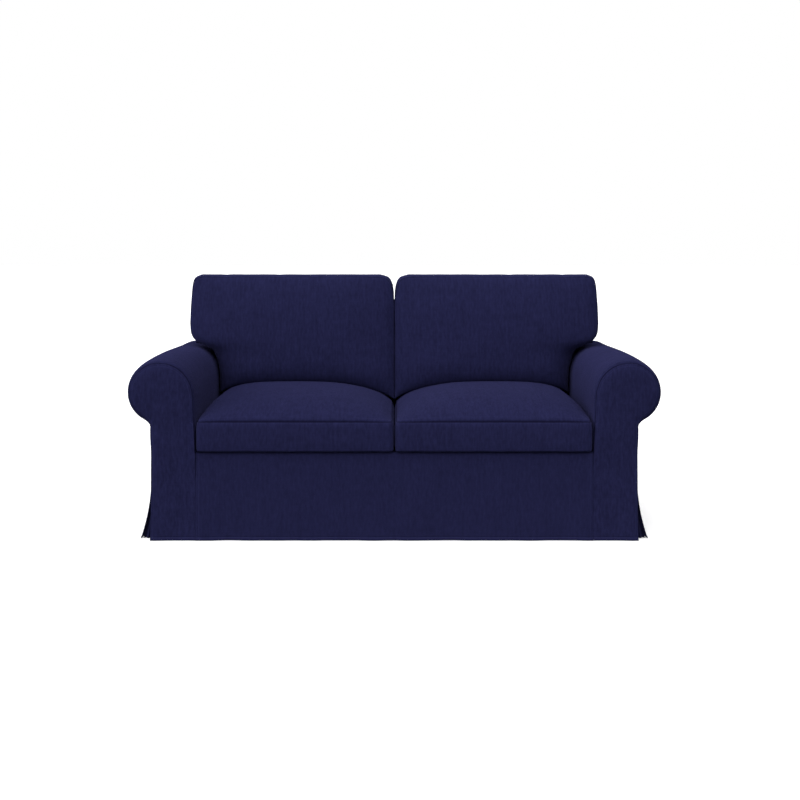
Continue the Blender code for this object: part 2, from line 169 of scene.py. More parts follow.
# %% [markdown]
# ## Cloth
# The cover is a dark navy plain weave of uneven yarn. Three things make it read as cloth. Its weave
# is a fine relief of crossing yarns, with painted shade in the gaps between them. Its slubs, the
# thicker places that run along the yarn, show as faint upright streaks. And its fuzz, which the
# shader's sheen stands for, lightens it where it is seen at a slant. The weave and the slubs follow
# the UV map "cloth", which holds the flat panel in metres, so the yarns run as they were cut. A
# second attribute, "sewn", tells how far a point is from a line of stitching, its place along it,
# and how far it is from a seam, in units that make the painted shade in the seam wide or narrow.

# %% Name the cloth's looks
NAVY = (0.0123, 0.0130, 0.0445)
YARN = 0.0017  # metres from yarn to yarn
YARN_SPOTS = (
    # kind, seed, spots a metre across, spots a metre along, share of the tone
    ("weft slub", 7.7, 18.0, 230.0, 0.12),
    ("slub", 3.1, 125.0, 42.0, 0.48),
    ("long slub", 5.3, 75.0, 7.0, 0.24),
    ("cloud", 1.3, 21.0, 16.0, 0.16),
)
SPOTS = {"Scale": 1.0, "Detail": 2.0, "Roughness": 0.55}
TONE_RANGE = (0.34, 0.66)  # of the spots, from darkest to lightest
YARN_GAP_SHADE, YARN_GAP_SHADE_TONE = 0.28, 0.5  # the painted shade in the gaps between yarns: how strong, and how dark
THREAD_COLOUR = (0.0180, 0.0190, 0.0620, 1.0)
THREAD_HALF = 0.00055
STITCH = 0.0042  # metres from stitch to stitch
STITCH_SHARE = 0.72  # of which the thread shows for this share
SEAM_SHADE = 0.0016  # metres that the painted shade in a plain seam reaches
# how strong the painted shade in a seam is, and its colour
SEAM_SHADE_STRENGTH = 0.75
SEAM_SHADE_COLOUR = (0.001, 0.001, 0.004, 1.0)
WEAVE_RELIEF, SLUB_RELIEF, THREAD_RELIEF = 0.45, 0.55, 1.3
BUMP = {"Strength": 0.55, "Distance": 0.0006}
CLOTH_FINISH = {
    "Roughness": 0.88,
    "Specular IOR Level": 0.0,
    "Sheen Weight": 0.063,
    "Sheen Roughness": 0.5,
    "Sheen Tint": (0.39, 0.39, 1.0, 1.0),
}
CLOTHS = (
    # name, shift of its slubs, how much lighter and darker they are
    ("navy_cover_cloth", 0.0, 0.22),
    ("navy_skirt_cloth", 17.0, 0.14),
    ("navy_cushion_cloth", 41.0, 0.20),
)
print("yarns a centimetre:", round(0.01 / YARN, 1))


# %% Spin uneven yarn, weave and sew it
def tinted(share):
    """The navy, made lighter or darker."""
    return tuple(channel * share for channel in NAVY) + (1.0,)


def navy_cloth(name, shift, slubby):
    """Plain-woven cloth: its yarns' tone, painted shade in their gaps and its seams, thread and
    relief.
    """
    material, shader = paint(name, CLOTH_FINISH)
    material.diffuse_color = tinted(1.0)
    tree = material.node_tree

    def calc(operation, first, second=0.0, third=0.0):
        return wire(tree, "Math", {0: first, 1: second, 2: third}, operation=operation).outputs[0]

    def blend(share, first, second):
        return wire(tree, "Mix", {0: share, 6: first, 7: second}, data_type="RGBA").outputs[2]

    flat = wire(tree, "UVMap", uv_map="cloth").outputs["UV"]
    uneven, spots = 0.0, {}
    for kind, seed, across, along, share in YARN_SPOTS:
        stretch = {"Vector": flat, "Location": (seed, shift, 0.0), "Scale": (across, along, 1.0)}
        cloud = {"Vector": wire(tree, "Mapping", stretch).outputs[0], **SPOTS}
        spots[kind] = wire(tree, "TexNoise", cloud, noise_dimensions="2D").outputs["Fac"]
        uneven = calc("MULTIPLY_ADD", spots[kind], share, uneven)
    tones = {"Value": uneven, "From Min": TONE_RANGE[0], "From Max": TONE_RANGE[1]}
    tone = wire(tree, "MapRange", tones).outputs[0]
    colour = blend(tone, tinted(1 - slubby), tinted(1 + slubby))

    counted = wire(tree, "Mapping", {"Vector": flat, "Scale": (1 / YARN, 1 / YARN, 1.0)}).outputs[0]
    ways = wire(tree, "SeparateXYZ", {0: counted}).outputs[:2]
    warp, weft = (calc("ABSOLUTE", calc("SINE", calc("MULTIPLY", way, math.pi))) for way in ways)
    squares = {"Vector": counted, "Scale": 1.0, "Color1": WHITE, "Color2": (0, 0, 0, 1)}
    over = wire(tree, "TexChecker", squares).outputs["Fac"]
    weave = wire(tree, "Mix", {"Factor": over, "A": weft, "B": warp}).outputs[0]
    # painted shade in the gaps between the yarns
    colour = blend(calc("MULTIPLY_ADD", weave, -YARN_GAP_SHADE, YARN_GAP_SHADE), colour, tinted(YARN_GAP_SHADE_TONE))

    sewn = wire(tree, "Attribute", attribute_name="sewn").outputs["Vector"]
    off_line, along_line, off_seam = wire(tree, "SeparateXYZ", {0: sewn}).outputs
    in_thread = calc("LESS_THAN", calc("ABSOLUTE", off_line), THREAD_HALF)
    dash = calc("FRACT", calc("DIVIDE", along_line, STITCH))
    thread = calc("MULTIPLY", in_thread, calc("LESS_THAN", dash, STITCH_SHARE))
    colour = blend(thread, colour, THREAD_COLOUR)
    # painted shade in the fold of each seam, darkest right at the seam
    near = calc("POWER", calc("DIVIDE", off_seam, SEAM_SHADE), 2.0)
    shade = calc("EXPONENT", calc("MULTIPLY", near, -1.0))
    colour = blend(calc("MULTIPLY", shade, SEAM_SHADE_STRENGTH), colour, SEAM_SHADE_COLOUR)
    tree.links.new(colour, shader.inputs["Base Color"])

    slubs = calc("MULTIPLY", spots["slub"], SLUB_RELIEF)
    relief = calc("MULTIPLY_ADD", weave, WEAVE_RELIEF, slubs)
    relief = calc("MAXIMUM", relief, calc("MULTIPLY", thread, THREAD_RELIEF))
    bump = wire(tree, "Bump", {"Height": relief, **BUMP})
    tree.links.new(bump.outputs["Normal"], shader.inputs["Normal"])
    return material


cover_cloth, skirt_cloth, cushion_cloth = (navy_cloth(*looks) for looks in CLOTHS)
print("cloths:", cover_cloth.name, skirt_cloth.name, cushion_cloth.name)

# %% [markdown]
# ## Tools for laying cloth
# A panel starts as a grid primitive with a column or row wherever the cloth needs one: every
# millimetre or so beside a seam, and a centimetre or two apart in the open. Each point of the grid
# is then laid on the shape of the sofa under it, and Solidify gives the cloth its two millimetres.
# Draping a simulated sheet would be another way, but a fitted cover is cut to shape, so placing its
# points one by one keeps its seams where they were sewn.

# %% Read, write and finish a mesh
CLOTH = 0.002
SEAM = 0.0003
CLOSE_SEAM = 0.00008  # where two panels lie level and are drawn tight
FAR = 0.5  # a distance that means no seam or stitch is near
NARROW = 5.0  # makes the painted shade in a seam this much narrower
SMOOTH_UNDER = math.radians(50)


def read(data, field, width=3, kind=float):
    """One field of all points, corners or polygons of a mesh, a row for each."""
    values = np.empty(len(data) * width, kind)
    data.foreach_get(field, values)
    return values.reshape(-1, width) if width > 1 else values


def read_points(piece):
    return read(piece.data.vertices, "co")


def write_points(piece, points):
    piece.data.vertices.foreach_set("co", np.asarray(points, np.float32).ravel())
    piece.data.update()


def write_uv(piece, flat):
    layer = piece.data.uv_layers[0]
    layer.name = "cloth"
    layer.data.foreach_set("uv", flat.astype(np.float32).ravel())


def keep(piece, name, *columns):
    """Writes one or three numbers for each point of a piece as an attribute."""
    kind, field = ("FLOAT", "value") if len(columns) == 1 else ("FLOAT_VECTOR", "vector")
    kept = piece.data.attributes.get(name) or piece.data.attributes.new(name, kind, "POINT")
    columns = np.broadcast_arrays(*columns, np.zeros(len(piece.data.vertices)))[:-1]
    kept.data.foreach_set(field, np.stack(columns, 1).astype(np.float32).ravel())


def only(piece):
    """Leaves this piece alone selected and active, because operators act on all selected."""
    bpy.ops.object.select_all(action="DESELECT")
    piece.select_set(True)
    bpy.context.view_layer.objects.active = piece


def apply_modifier(piece, kind, **settings):
    only(piece)
    modifier = piece.modifiers.new(kind.lower(), kind)
    for name, value in settings.items():
        setattr(modifier, name, value)
    bpy.ops.object.modifier_apply(modifier=modifier.name)


def finish(piece, cloth):
    """Shades a piece smoothly up to its sharp edges and cuts it from this cloth."""
    only(piece)
    bpy.ops.object.shade_smooth_by_angle(angle=SMOOTH_UNDER)
    piece.data.materials.clear()
    piece.data.materials.append(cloth)
    print(piece.name, "faces", len(piece.data.polygons))


# %% Place columns and rows
SEAM_REACH = (0.001, 0.0025, 0.0045)
HEM_REACH = (0.0007, 0.0015, 0.003)
EDGE_ROOM = 0.0004  # no column or row comes closer to the edge of a panel


def spread(first, last, step):
    """Even stations about step apart, both ends included."""
    return list(np.linspace(first, last, max(2, round(abs(last - first) / step) + 1)))


def crowd(stations, *lines, reach=SEAM_REACH + (0.008,)):
    """The same stations, with closer ones on both sides of each line."""
    low, high = min(stations), max(stations)
    near = [line + side * away for line in lines for away in (0.0, *reach) for side in (-1, 1)]
    kept = [s for s in stations[1:-1] if all(abs(s - line) > reach[-1] for line in lines)]
    inside = [n for n in near if low + EDGE_ROOM < n < high - EDGE_ROOM]
    return sorted(set(round(v, 6) for v in [low, high] + kept + inside))


print("rows beside a seam, in mm:", [round(away * 1000, 1) for away in SEAM_REACH])

# %% Shape the cloth a little
DRIFT_ACROSS = (15.0, 27.0, 6.0)  # of three crossing waves, in radians a metre
DRIFT_ALONG = (11.0, 8.0, 33.0)
DRIFT_SHARES = (0.6, 0.4)  # of the second and third wave, beside the first
DRIFT_SEEDS = (2.1, 3.0)  # how a seed moves the first wave along, and the second
GATHERS = (
    # height, radians a metre, how far their pitch wanders, radians a metre of that
    (1.0, 390.0, 5.0, 47.0),
    (0.7, 233.0, 3.0, 31.0),
)


def unit(value):
    """The value, held between 0 and 1."""
    return np.clip(value, 0.0, 1.0)


def ease(share):
    """From 0 to 1, slowly at both ends."""
    share = unit(share)
    return share**2 * (3 - 2 * share)


def groove(distance, depth, width):
    """How far the cloth dips at a distance from a line of stitching."""
    return depth * np.exp(-((distance / width) ** 2))


def drift(across, along, seed=0.0):
    """Slow, shallow unevenness, from about -1 to 1."""
    x1, x2, x3 = (across * turns for turns in DRIFT_ACROSS)
    y1, y2, y3 = (along * turns for turns in DRIFT_ALONG)
    first = np.sin(x1 + seed) * np.cos(y1 + DRIFT_SEEDS[0] * seed)
    second = np.sin(x2 - y2 + DRIFT_SEEDS[1] * seed)
    third = np.cos(y3 + x3 + seed)
    return (first + DRIFT_SHARES[0] * second + DRIFT_SHARES[1] * third) / 2


def pucker(along, away, reach=0.010):
    """Small gathers beside a seam, uneven in pitch, dying out away from it."""
    wave, heights = 0.0, 0.0
    for height, turns, wander, slow in GATHERS:
        wave = wave + height * np.sin(along * turns + wander * np.sin(along * slow))
        heights += height
    return wave / heights * np.exp(-away / reach)


def nearer(first, second):
    """Of two lines of stitching, each (distance, place along it), the nearer one at each point."""
    return np.where(np.abs(first[0]) < np.abs(second[0]), first, second)


def run_length(points):
    """Lengths along a line of points, from 0 at its first."""
    return np.append(0.0, np.cumsum(np.linalg.norm(np.diff(points, axis=0), axis=1)))


print("unevenness in the middle, 0.3 m up:", round(float(drift(0.0, 0.3)), 3))

# %% Lay and finish a sheet
PUCKER = 0.0004  # of the gathers beside a panel's seam
UNEVEN = 0.0005  # how far a panel's cloth drifts from its true shape
TWIN_SHIFT = 2.37  # moves the weave of a left-hand piece, so that its slubs are its own


def lay_sheet(name, across, along, place, facing, planar=None, turned=False):
    """Grid cloth laid where place(across, along) puts it, with its points and flat coordinates.

    The flat coordinates are lengths over the middle row and column, or two of the axes (planar).
    """
    columns, rows = len(across), len(along)
    bpy.ops.object.select_all(action="DESELECT")
    bpy.ops.mesh.primitive_grid_add(x_subdivisions=columns - 1, y_subdivisions=rows - 1, size=2.0)
    piece = bpy.context.object
    piece.name = piece.data.name = name
    start = read_points(piece)
    column = np.rint((start[:, 0] + 1) / 2 * (columns - 1)).astype(int)
    row = np.rint((start[:, 1] + 1) / 2 * (rows - 1)).astype(int)
    points = place(np.asarray(across)[column], np.asarray(along)[row])
    write_points(piece, points)
    if planar is None:
        grid = np.empty((rows, columns, 3))
        grid[row, column] = points
        u, v = run_length(grid[rows // 2])[column], run_length(grid[:, columns // 2])[row]
    else:
        u, v = points[:, planar[0]], points[:, planar[1]]
    flat = np.stack([v, u] if turned else [u, v], 1)
    write_uv(piece, flat[read(piece.data.loops, "vertex_index", 1, int)])
    keep(piece, "sewn", FAR, 0.0, FAR)
    middle = (rows - 1) // 2 * (columns - 1) + (columns - 1) // 2
    if piece.data.polygons[middle].normal.dot(Vector(facing)) < 0:
        only(piece)
        bpy.ops.object.mode_set(mode="EDIT")
        bpy.ops.mesh.select_all(action="SELECT")
        bpy.ops.mesh.flip_normals()
        bpy.ops.object.mode_set(mode="OBJECT")
    return piece, points, flat


def finish_sheet(piece, node, flat, held, rests_on, area=None, cloth=cover_cloth, offset=-1.0):
    """Gives the laid cloth its thickness and finish, hangs it on the root and hides the solid it
    stands for.
    """
    apply_modifier(piece, "SOLIDIFY", thickness=CLOTH, offset=offset)
    finish(piece, cloth)
    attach(piece, "root")
    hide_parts(node)


def turn_over(piece):
    """The left-hand piece: the same cut, turned over, with its own mesh and slubs of its own."""
    twin = piece.copy()
    twin.data = piece.data.copy()
    twin.name = twin.data.name = piece.name.replace("right", "left")
    bpy.context.scene.collection.objects.link(twin)
    twin.data.transform(Matrix.Scale(-1.0, 4, (1.0, 0.0, 0.0)))
    twin.data.flip_normals()
    write_uv(twin, read(twin.data.uv_layers["cloth"].data, "uv", 2, np.float32) + TWIN_SHIFT)
    return twin


def finish_pair(piece, node, flat, held, rests_on, **more):
    """Finishes a right-hand piece and its twin. A name that ends in _ is given the side."""
    for cut, side in zip((piece, turn_over(piece)), ("right", "left")):
        carriers = [name + side if name.endswith("_") else name for name in rests_on]
        finish_sheet(cut, node + side, flat, held, carriers, **more)


# %% [markdown]
# ## Front skirt
# The long panel between the arms hangs from the platform's edge to the floor. On the real cover its
# hem is turned up a centimetre and stitched, and a line of top-stitching runs down beside each
# seam. The cloth is laid over the platform's rounded edge and falls with shallow waves that grow
# towards the hem, so nothing needs to be simulated.

# %% Let the hem hang
HANG_Z = 0.290  # the waves die out at this height
HANG_CURVE = 1.5
HEM_STITCH = 0.0105
HEM_EXTRA, HEM_STEP = 0.0009, 0.0006  # the turned-up cloth, and how abruptly it ends
HEM_DIP = (0.0012, 0.0016)  # of a stitched line: depth, width
HEM_LIFT_Z = 0.05
HEM_WAVE = (
    # x, forward
    (0.000, 0.0030),
    (0.055, 0.0046),
    (0.145, 0.0008),
    (0.265, 0.0022),
    (0.425, 0.0044),
    (0.560, 0.0010),
    (0.636, 0.0048),
    (0.718, 0.0008),
    (0.810, 0.0050),
    (0.900, 0.0030),
)


def hang(z):
    """How freely the cloth swings at a height: not at all under the seat, most at the hem."""
    return unit(1 - z / HANG_Z) ** HANG_CURVE


def hem_swing(x, z):
    """How far the hanging cloth stands off the sofa at x and z."""
    places, forward = (np.array(column) for column in zip(*HEM_WAVE))
    x = np.clip(np.abs(x), 0.0, places[-1] - 1e-6)
    lower = np.clip(np.searchsorted(places, x, side="right") - 1, 0, len(places) - 2)
    share = (1 - np.cos(np.pi * (x - places[lower]) / (places[lower + 1] - places[lower]))) / 2
    return (forward[lower] + (forward[lower + 1] - forward[lower]) * share) * hang(z)


def hem_fold(z):
    """The turned-up hem: thicker below its line of stitching."""
    return HEM_EXTRA / (1 + np.exp((z - HEM_STITCH) / HEM_STEP)) - groove(z - HEM_STITCH, *HEM_DIP)


def hem_lift(z, along, most, shift, seed):
    """How far the hem clears the floor, unevenly along its length."""
    return most * (1 + drift(along, shift, seed)) * np.exp(-z / HEM_LIFT_Z)


def hem_rows(top, step=0.009):
    """Rows from the floor up, closer at the hem and its stitching."""
    return crowd(spread(0.0, top, step), 0.0, HEM_STITCH, reach=HEM_REACH)


print("hem swings up to", max(forward for _, forward in HEM_WAVE) * 1000, "mm")

# %% Lay the front skirt
DECK_Z = 0.297
DECK_ROLL = 0.012  # radius of the platform's front edge
DECK_SEAM_BACK = 0.017
APRON_HALF = 0.6685
ARM_INNER_X = 0.6675
TOP_STITCH = 0.0110
PANEL_SEAM_DIP = (0.0006, 0.0016)
TOP_STITCH_DIP = (0.0006, 0.0015)
EDGE_Z = DECK_Z - DECK_ROLL
OVER_EDGE = DECK_ROLL * math.pi / 2
EDGE_ROWS = 8  # over the rounded edge
SKIRT_UNEVEN = 0.0006


def skirt_path(length):
    """(back, z) at a length up the panel: straight to the platform's edge, then over it."""
    turn = np.clip((length - EDGE_Z) / DECK_ROLL, 0.0, math.pi / 2)
    back = DECK_ROLL * (1 - np.cos(turn)) + unit(length - EDGE_Z - OVER_EDGE)
    return back, np.minimum(length, EDGE_Z) + DECK_ROLL * np.sin(turn)


def place_front_skirt(x, length):
    back, z = skirt_path(length)
    hanging = z < EDGE_Z
    beyond = unit((back - DECK_ROLL / 3) / (DECK_ROLL / 3))
    x = x * (1 + (((ARM_INNER_X - SEAM) / APRON_HALF) - 1) * beyond)
    to_side = APRON_HALF - np.abs(x)
    y = FRONT_Y + back - hem_swing(x, z) - hem_fold(z)
    y += groove(to_side, *PANEL_SEAM_DIP)
    y += groove(to_side - TOP_STITCH, *TOP_STITCH_DIP) * hanging
    y += -SKIRT_UNEVEN * drift(x, z) * hanging - PUCKER * pucker(z, to_side)
    lift = hem_lift(z, along=x * 2.2, most=0.0009, shift=0.3, seed=1.7)
    return np.stack([x, y, z + lift * hanging], 1)


skirt_columns = spread(-APRON_HALF, APRON_HALF, step=0.009)
skirt_columns = crowd(skirt_columns, TOP_STITCH - APRON_HALF, APRON_HALF - TOP_STITCH)
skirt_columns = crowd(skirt_columns, -APRON_HALF, APRON_HALF, reach=(0.001, 0.002, 0.0035, 0.0055))
skirt_rows = hem_rows(EDGE_Z)
skirt_rows += [EDGE_Z + OVER_EDGE * row / EDGE_ROWS for row in range(1, EDGE_ROWS + 1)]
skirt_rows.append(EDGE_Z + OVER_EDGE + DECK_SEAM_BACK - DECK_ROLL)
front_skirt, points, flat = lay_sheet(
    "front_skirt_cloth", skirt_columns, skirt_rows, place_front_skirt, (0, -1, 0)
)
to_seam = APRON_HALF - np.abs(points[:, 0])
side_line, hem_line = (to_seam - TOP_STITCH, flat[:, 1]), (flat[:, 1] - HEM_STITCH, flat[:, 0])
off_seam = np.where(points[:, 2] < EDGE_Z, to_seam * NARROW, FAR)
keep(front_skirt, "sewn", *nearer(side_line, hem_line), off_seam)
print("front skirt:", len(skirt_columns), "columns,", len(skirt_rows), "rows")

# %% Sew on the seam allowances
ALLOWANCE = 0.0065  # on each side of the seam
ALLOWANCE_BEHIND = 1.2 * CLOTH
ALLOWANCE_Z = (0.006, EDGE_Z - 0.002)  # its lower and upper end


def place_allowance(x, z):
    """A strip close behind the seam between the front skirt and an arm front."""
    return np.stack([x, FRONT_Y + ALLOWANCE_BEHIND - hem_swing(x, z), z], 1)


strips = []
strip_rows = spread(*ALLOWANCE_Z, step=0.02)
for side in (-1, 1):
    columns = spread(side * APRON_HALF - ALLOWANCE, side * APRON_HALF + ALLOWANCE, step=0.003)
    strip = lay_sheet("allowance", columns, strip_rows, place_allowance, (0, -1, 0))[0]
    apply_modifier(strip, "SOLIDIFY", thickness=CLOTH / 2, offset=-1.0)
    strip.data.materials.append(skirt_cloth)
    strips.append(strip)
finish_sheet(
    front_skirt, "front_skirt", (1.3424, 0.3160), "hung", ["seat_deck"], cloth=skirt_cloth
)
only(front_skirt)
for strip in strips:
    strip.select_set(True)
bpy.ops.object.join()
print("with its seam allowances:", len(front_skirt.data.polygons), "faces")

# %% [markdown]
# ## Arm fronts
# Each arm is closed at the front by one flat panel with a scroll top, which runs on down to the
# hem. A filled arm pushes its middle forward, so the panel is pillowed: it curves back towards its
# seam over the last few centimetres, and that rim catches the light. The distance of every point
# from the sewn outline is measured first, and drives the pillow, the stitching and the seam.

# %% Draw the section of an arm
ROLL_R = 0.1092
ROLL_X = 0.7955
ROLL_Z = 0.5002
ARM_TOP_Z = ROLL_Z + ROLL_R
ARM_SPRING_Z = 0.470  # where the inner side begins to curve over
ARM_FOOT_Z = DECK_Z - CLOTH
FOOT_DIP = 0.22  # share of a dip that the inner side takes at its foot
SPRING_DIP = 0.74  # and where it begins to curve
ROLL_TURN = -58.0  # degrees below level at which the roll runs into its neck
SKIRT_X = 0.8175
NECK_Z = 0.375
NECK_ROOM = 0.004  # between the last straight row and the neck
NECK_SPREAD, NECK_SPREAD_FROM, NECK_SPREAD_OVER = 0.0030, 0.29, 0.07
HEM_SPREAD, HEM_SPREAD_Z = 0.0025, 0.12
SIDE_SEAM = 0.0005  # the front and back panels reach this far past the side skirts
NECK_BEND = (SKIRT_X + SIDE_SEAM, 0.0190)  # x of the bend, and its drop under the roll
FRONT_FULL = 2.15  # how square the roll's inside is at its front
REAR_FULL = 2.80  # and beside the back cushion
SHOULDER = 0.11  # how much the roll slopes at its upper outer side
SEAM_DIP = 0.0150  # the roll is drawn in this much at its front seam
REAR_DIP = 0.0060
ROLL_SAG = 0.0024
NEVER_QUITE = 0.9999
NECK_ROWS = 9
SHORT_OF_CROWN = 2.05


def skirt_x(z):
    """The side of the cover under the roll: it spreads a little towards the neck and the hem."""
    neck = NECK_SPREAD * ease((z - NECK_SPREAD_FROM) / NECK_SPREAD_OVER)
    return SKIRT_X + neck + HEM_SPREAD * unit(1 - z / HEM_SPREAD_Z) ** 2


def drawn_in(rise):
    """How much of a dip the arm's inner side takes, from its foot (0) to its curve (1)."""
    return FOOT_DIP + (SPRING_DIP - FOOT_DIP) * ease(rise)


def arm_section(t, dip, full=FRONT_FULL):
    """(x, z) round an arm: up its inside (t to 1), to the crown (2), the roll (3), the neck (4)."""
    rise, down = unit(t), unit(t - 3)
    inner_x = ARM_INNER_X + dip * drawn_in(rise)
    over = np.pi - np.pi / 2 * unit(t - 1)
    around = np.radians(90 + (ROLL_TURN - 90) * unit(t - 2))
    radius = (ROLL_R - dip) * (1 - SHOULDER * unit(np.sin(around)) ** 4 * np.cos(around) ** 2)
    end = math.radians(ROLL_TURN)
    top = (ROLL_X + radius * math.cos(end), ROLL_Z - ROLL_SAG + radius * math.sin(end))
    bend = (NECK_BEND[0], top[1] - NECK_BEND[1])
    foot = (skirt_x(NECK_Z) + SIDE_SEAM, NECK_Z)
    neck_x, neck_z = (
        top[axis] * (1 - down) ** 2 + bend[axis] * 2 * down * (1 - down) + foot[axis] * down**2
        for axis in (0, 1)
    )
    inside_x = ROLL_X - (ROLL_X - inner_x) * np.abs(np.cos(over)) ** (2 / full)
    inside_z = (ARM_TOP_Z - ARM_SPRING_Z - dip) * unit(np.sin(over)) ** (2 / full)
    kinds = [t <= 1, t <= 2, t <= 3]
    x = np.select(kinds, [inner_x + 0 * t, inside_x, ROLL_X + radius * np.cos(around)], neck_x)
    z = np.select(
        kinds,
        [
            ARM_FOOT_Z + (ARM_SPRING_Z - ARM_FOOT_Z) * rise,
            ARM_SPRING_Z + inside_z,
            ROLL_Z - ROLL_SAG + (radius + ROLL_SAG * (around > 0)) * np.sin(around),
        ],
        neck_z,
    )
    return x, z


def inner_curve(z, rise, width, full):
    """The x at which a panel meets the arm's inside, at a height."""
    share = np.clip((z - ARM_SPRING_Z) / rise, 0.0, NEVER_QUITE)
    return ROLL_X - width * (1 - share**full) ** (1 / full)


def scroll_t(steps, *last):
    """Stations round an end panel's scroll, from the neck to just short of the crown."""
    neck, roll = np.linspace(4.0, 3.0, NECK_ROWS), np.linspace(3.0, SHORT_OF_CROWN, steps)
    return np.concatenate([neck[:-1], roll, last])


print("arm's crown at", round(ARM_TOP_Z, 4), "outermost", round(ROLL_X + ROLL_R, 4))

# %% Outline an arm front
FOOT_POINTS, SCROLL_POINTS = 120, 500  # of the sewn outline
SEWN_UNTIL = 0.6  # on the arm's inside, where the seat cushion hides the seam

roll_x, roll_z = arm_section(scroll_t(44, 2.025, 2.008), SEAM_DIP)
low_rows = hem_rows(NECK_Z - NECK_ROOM)
front_rows = [*low_rows, *roll_z]
front_edge = [*(skirt_x(np.array(low_rows)) + SIDE_SEAM), *roll_x]
shares = [0.0, 0.006, 0.014, 0.024, 0.038, 0.055, 0.08, 0.11, 0.15]  # closer to the seam
shares += spread(0.20, 0.80, 0.05) + [1 - share for share in reversed(shares)]

foot_z = np.linspace(0.0, NECK_Z, FOOT_POINTS)
scroll = np.stack(arm_section(np.linspace(4.0, SEWN_UNTIL, SCROLL_POINTS), SEAM_DIP), 1)
outline = np.concatenate([np.stack([skirt_x(foot_z) + SIDE_SEAM, foot_z], 1), scroll])
outline_length = run_length(outline)


def inner_edge(z):
    """The arm front's inner edge at a height."""
    rise = (z - ARM_FOOT_Z) / (ARM_SPRING_Z - ARM_FOOT_Z)
    width = ROLL_X - ARM_INNER_X - SEAM_DIP * drawn_in(rise)
    above = inner_curve(z, ARM_TOP_Z - ARM_SPRING_Z - SEAM_DIP, width, FRONT_FULL)
    return np.where(z < DECK_Z, APRON_HALF + CLOSE_SEAM, above)


def from_outline(x, z):
    """Distance from the sewn curve round an arm front, and the length along it."""
    away = np.hypot(x[:, None] - outline[None, :, 0], z[:, None] - outline[None, :, 1])
    nearest = away.argmin(1)
    return away[np.arange(len(x)), nearest], outline_length[nearest]


print("sewn outline of an arm front:", round(outline_length[-1], 3), "m")

# %% Lay the arm fronts
PILLOW = 0.0080
PILLOW_LOW = 0.0015  # the panel lies flatter under the seat, where no filling pushes it out
PILLOW_FROM, PILLOW_OVER = 0.19, 0.16
PILLOW_REACH = 0.016
RIM_BACK = 0.0010
RIM_STITCH = 0.0085
BESIDE_SKIRT_Z = 0.06  # the seam beside the front skirt fades out over this height
LOW_STITCH_DIP = (0.0004, 0.0015)


def place_arm_front(share, z):
    inner = inner_edge(z)
    x = inner + (np.interp(z, front_rows, front_edge) - inner) * share
    rim, along = from_outline(x, z)
    low = unit((DECK_Z + BESIDE_SKIRT_Z - z) / BESIDE_SKIRT_Z)
    beside = (x - inner) + (1 - low) * FAR
    fullness = PILLOW_LOW + (PILLOW - PILLOW_LOW) * ease((z - PILLOW_FROM) / PILLOW_OVER)
    y = FRONT_Y + RIM_BACK - fullness * (1 - np.exp(-rim / PILLOW_REACH))
    y += groove(rim - RIM_STITCH, *TOP_STITCH_DIP)
    y += low * (groove(beside, *PANEL_SEAM_DIP) + groove(beside - TOP_STITCH, *LOW_STITCH_DIP))
    y += -hem_swing(x, z) - hem_fold(z) - UNEVEN * drift(x, z, seed=2.0)
    y -= PUCKER * pucker(along, rim)
    return np.stack([x, y, z + hem_lift(z, along=x * 2.5, most=0.0007, shift=0.1, seed=0.4)], 1)


arm_front, points, _ = lay_sheet(
    "arm_front_cloth_right", shares, front_rows, place_arm_front, (0, -1, 0), planar=(0, 2)
)
x, _, z = points.T
rim, along = from_outline(x, z)
off_seam = np.minimum(rim, np.where(z < DECK_Z, x - (APRON_HALF + CLOSE_SEAM), FAR)) * NARROW
keep(arm_front, "sewn", *nearer((rim - RIM_STITCH, along), (z - HEM_STITCH, x)), off_seam)
finish_pair(arm_front, "arm_front_", (0.2226, 0.6060), "stretched", ["arm_roll_"], area=0.0970)

# %% [markdown]
# ## Arm rolls
# One length of cloth starts under the seat, climbs the inside of the arm, goes over the roll and
# tucks back under it to the neck. It is drawn in where it is sewn to the front and back panels,
# which gives the roll its soft rounded ends, and its edges turn in behind those panels.

# %% Lay the arm rolls
BACK_Y = 0.435
INNER_BACK_Y = 0.305
ARM_ARCH = 0.0065
REAR_RISE = 0.0090  # where the back's side seam pulls the crown up
REAR_RISE_FROM = 0.10
REAR_RISE_CURVE = 1.3
AT_CROWN = 24  # the power that keeps the rise to the crown
DIP_LENGTH = 0.030  # how far a dip reaches along the roll
INSIDE_LENGTH = 0.070  # and along the inside of the arm
INSIDE_UNTIL = 1.6
END_ROUND = 0.0070  # the ends are rounded this much, and the rest of the dip is a long slope
REAR_ROUND = 0.0045
FULLER_OVER = 0.45  # the inside grows fuller over this length
GATHER_PITCH = 0.16  # metres that one step of t counts for in the gathers
GATHERS_FROM = 0.002  # the seam itself stays straight over this length
SLOW = 0.3  # the roll's unevenness goes this slowly round it
BEHIND_PANEL = CLOTH + SEAM + 0.0012
ROLL_COUNTS = (16, 25, 41, 9)  # columns up the inside, to the crown, round the roll, to the neck
ROLL_FRONT, ROLL_BACK = FRONT_Y + BEHIND_PANEL, BACK_Y - BEHIND_PANEL


def arm_rise(y, z):
    """How far the crown of an arm arches up along its length, and rises at the back."""
    share = unit((y - FRONT_Y) / (INNER_BACK_Y - FRONT_Y))
    rear = unit((y - REAR_RISE_FROM) / (BACK_Y - REAR_RISE_FROM))
    height = unit((z - ARM_SPRING_Z) / (ARM_TOP_Z - ARM_SPRING_Z))
    arch = ARM_ARCH * np.sin(np.pi * share) * height
    return arch + REAR_RISE * rear**REAR_RISE_CURVE * height**AT_CROWN


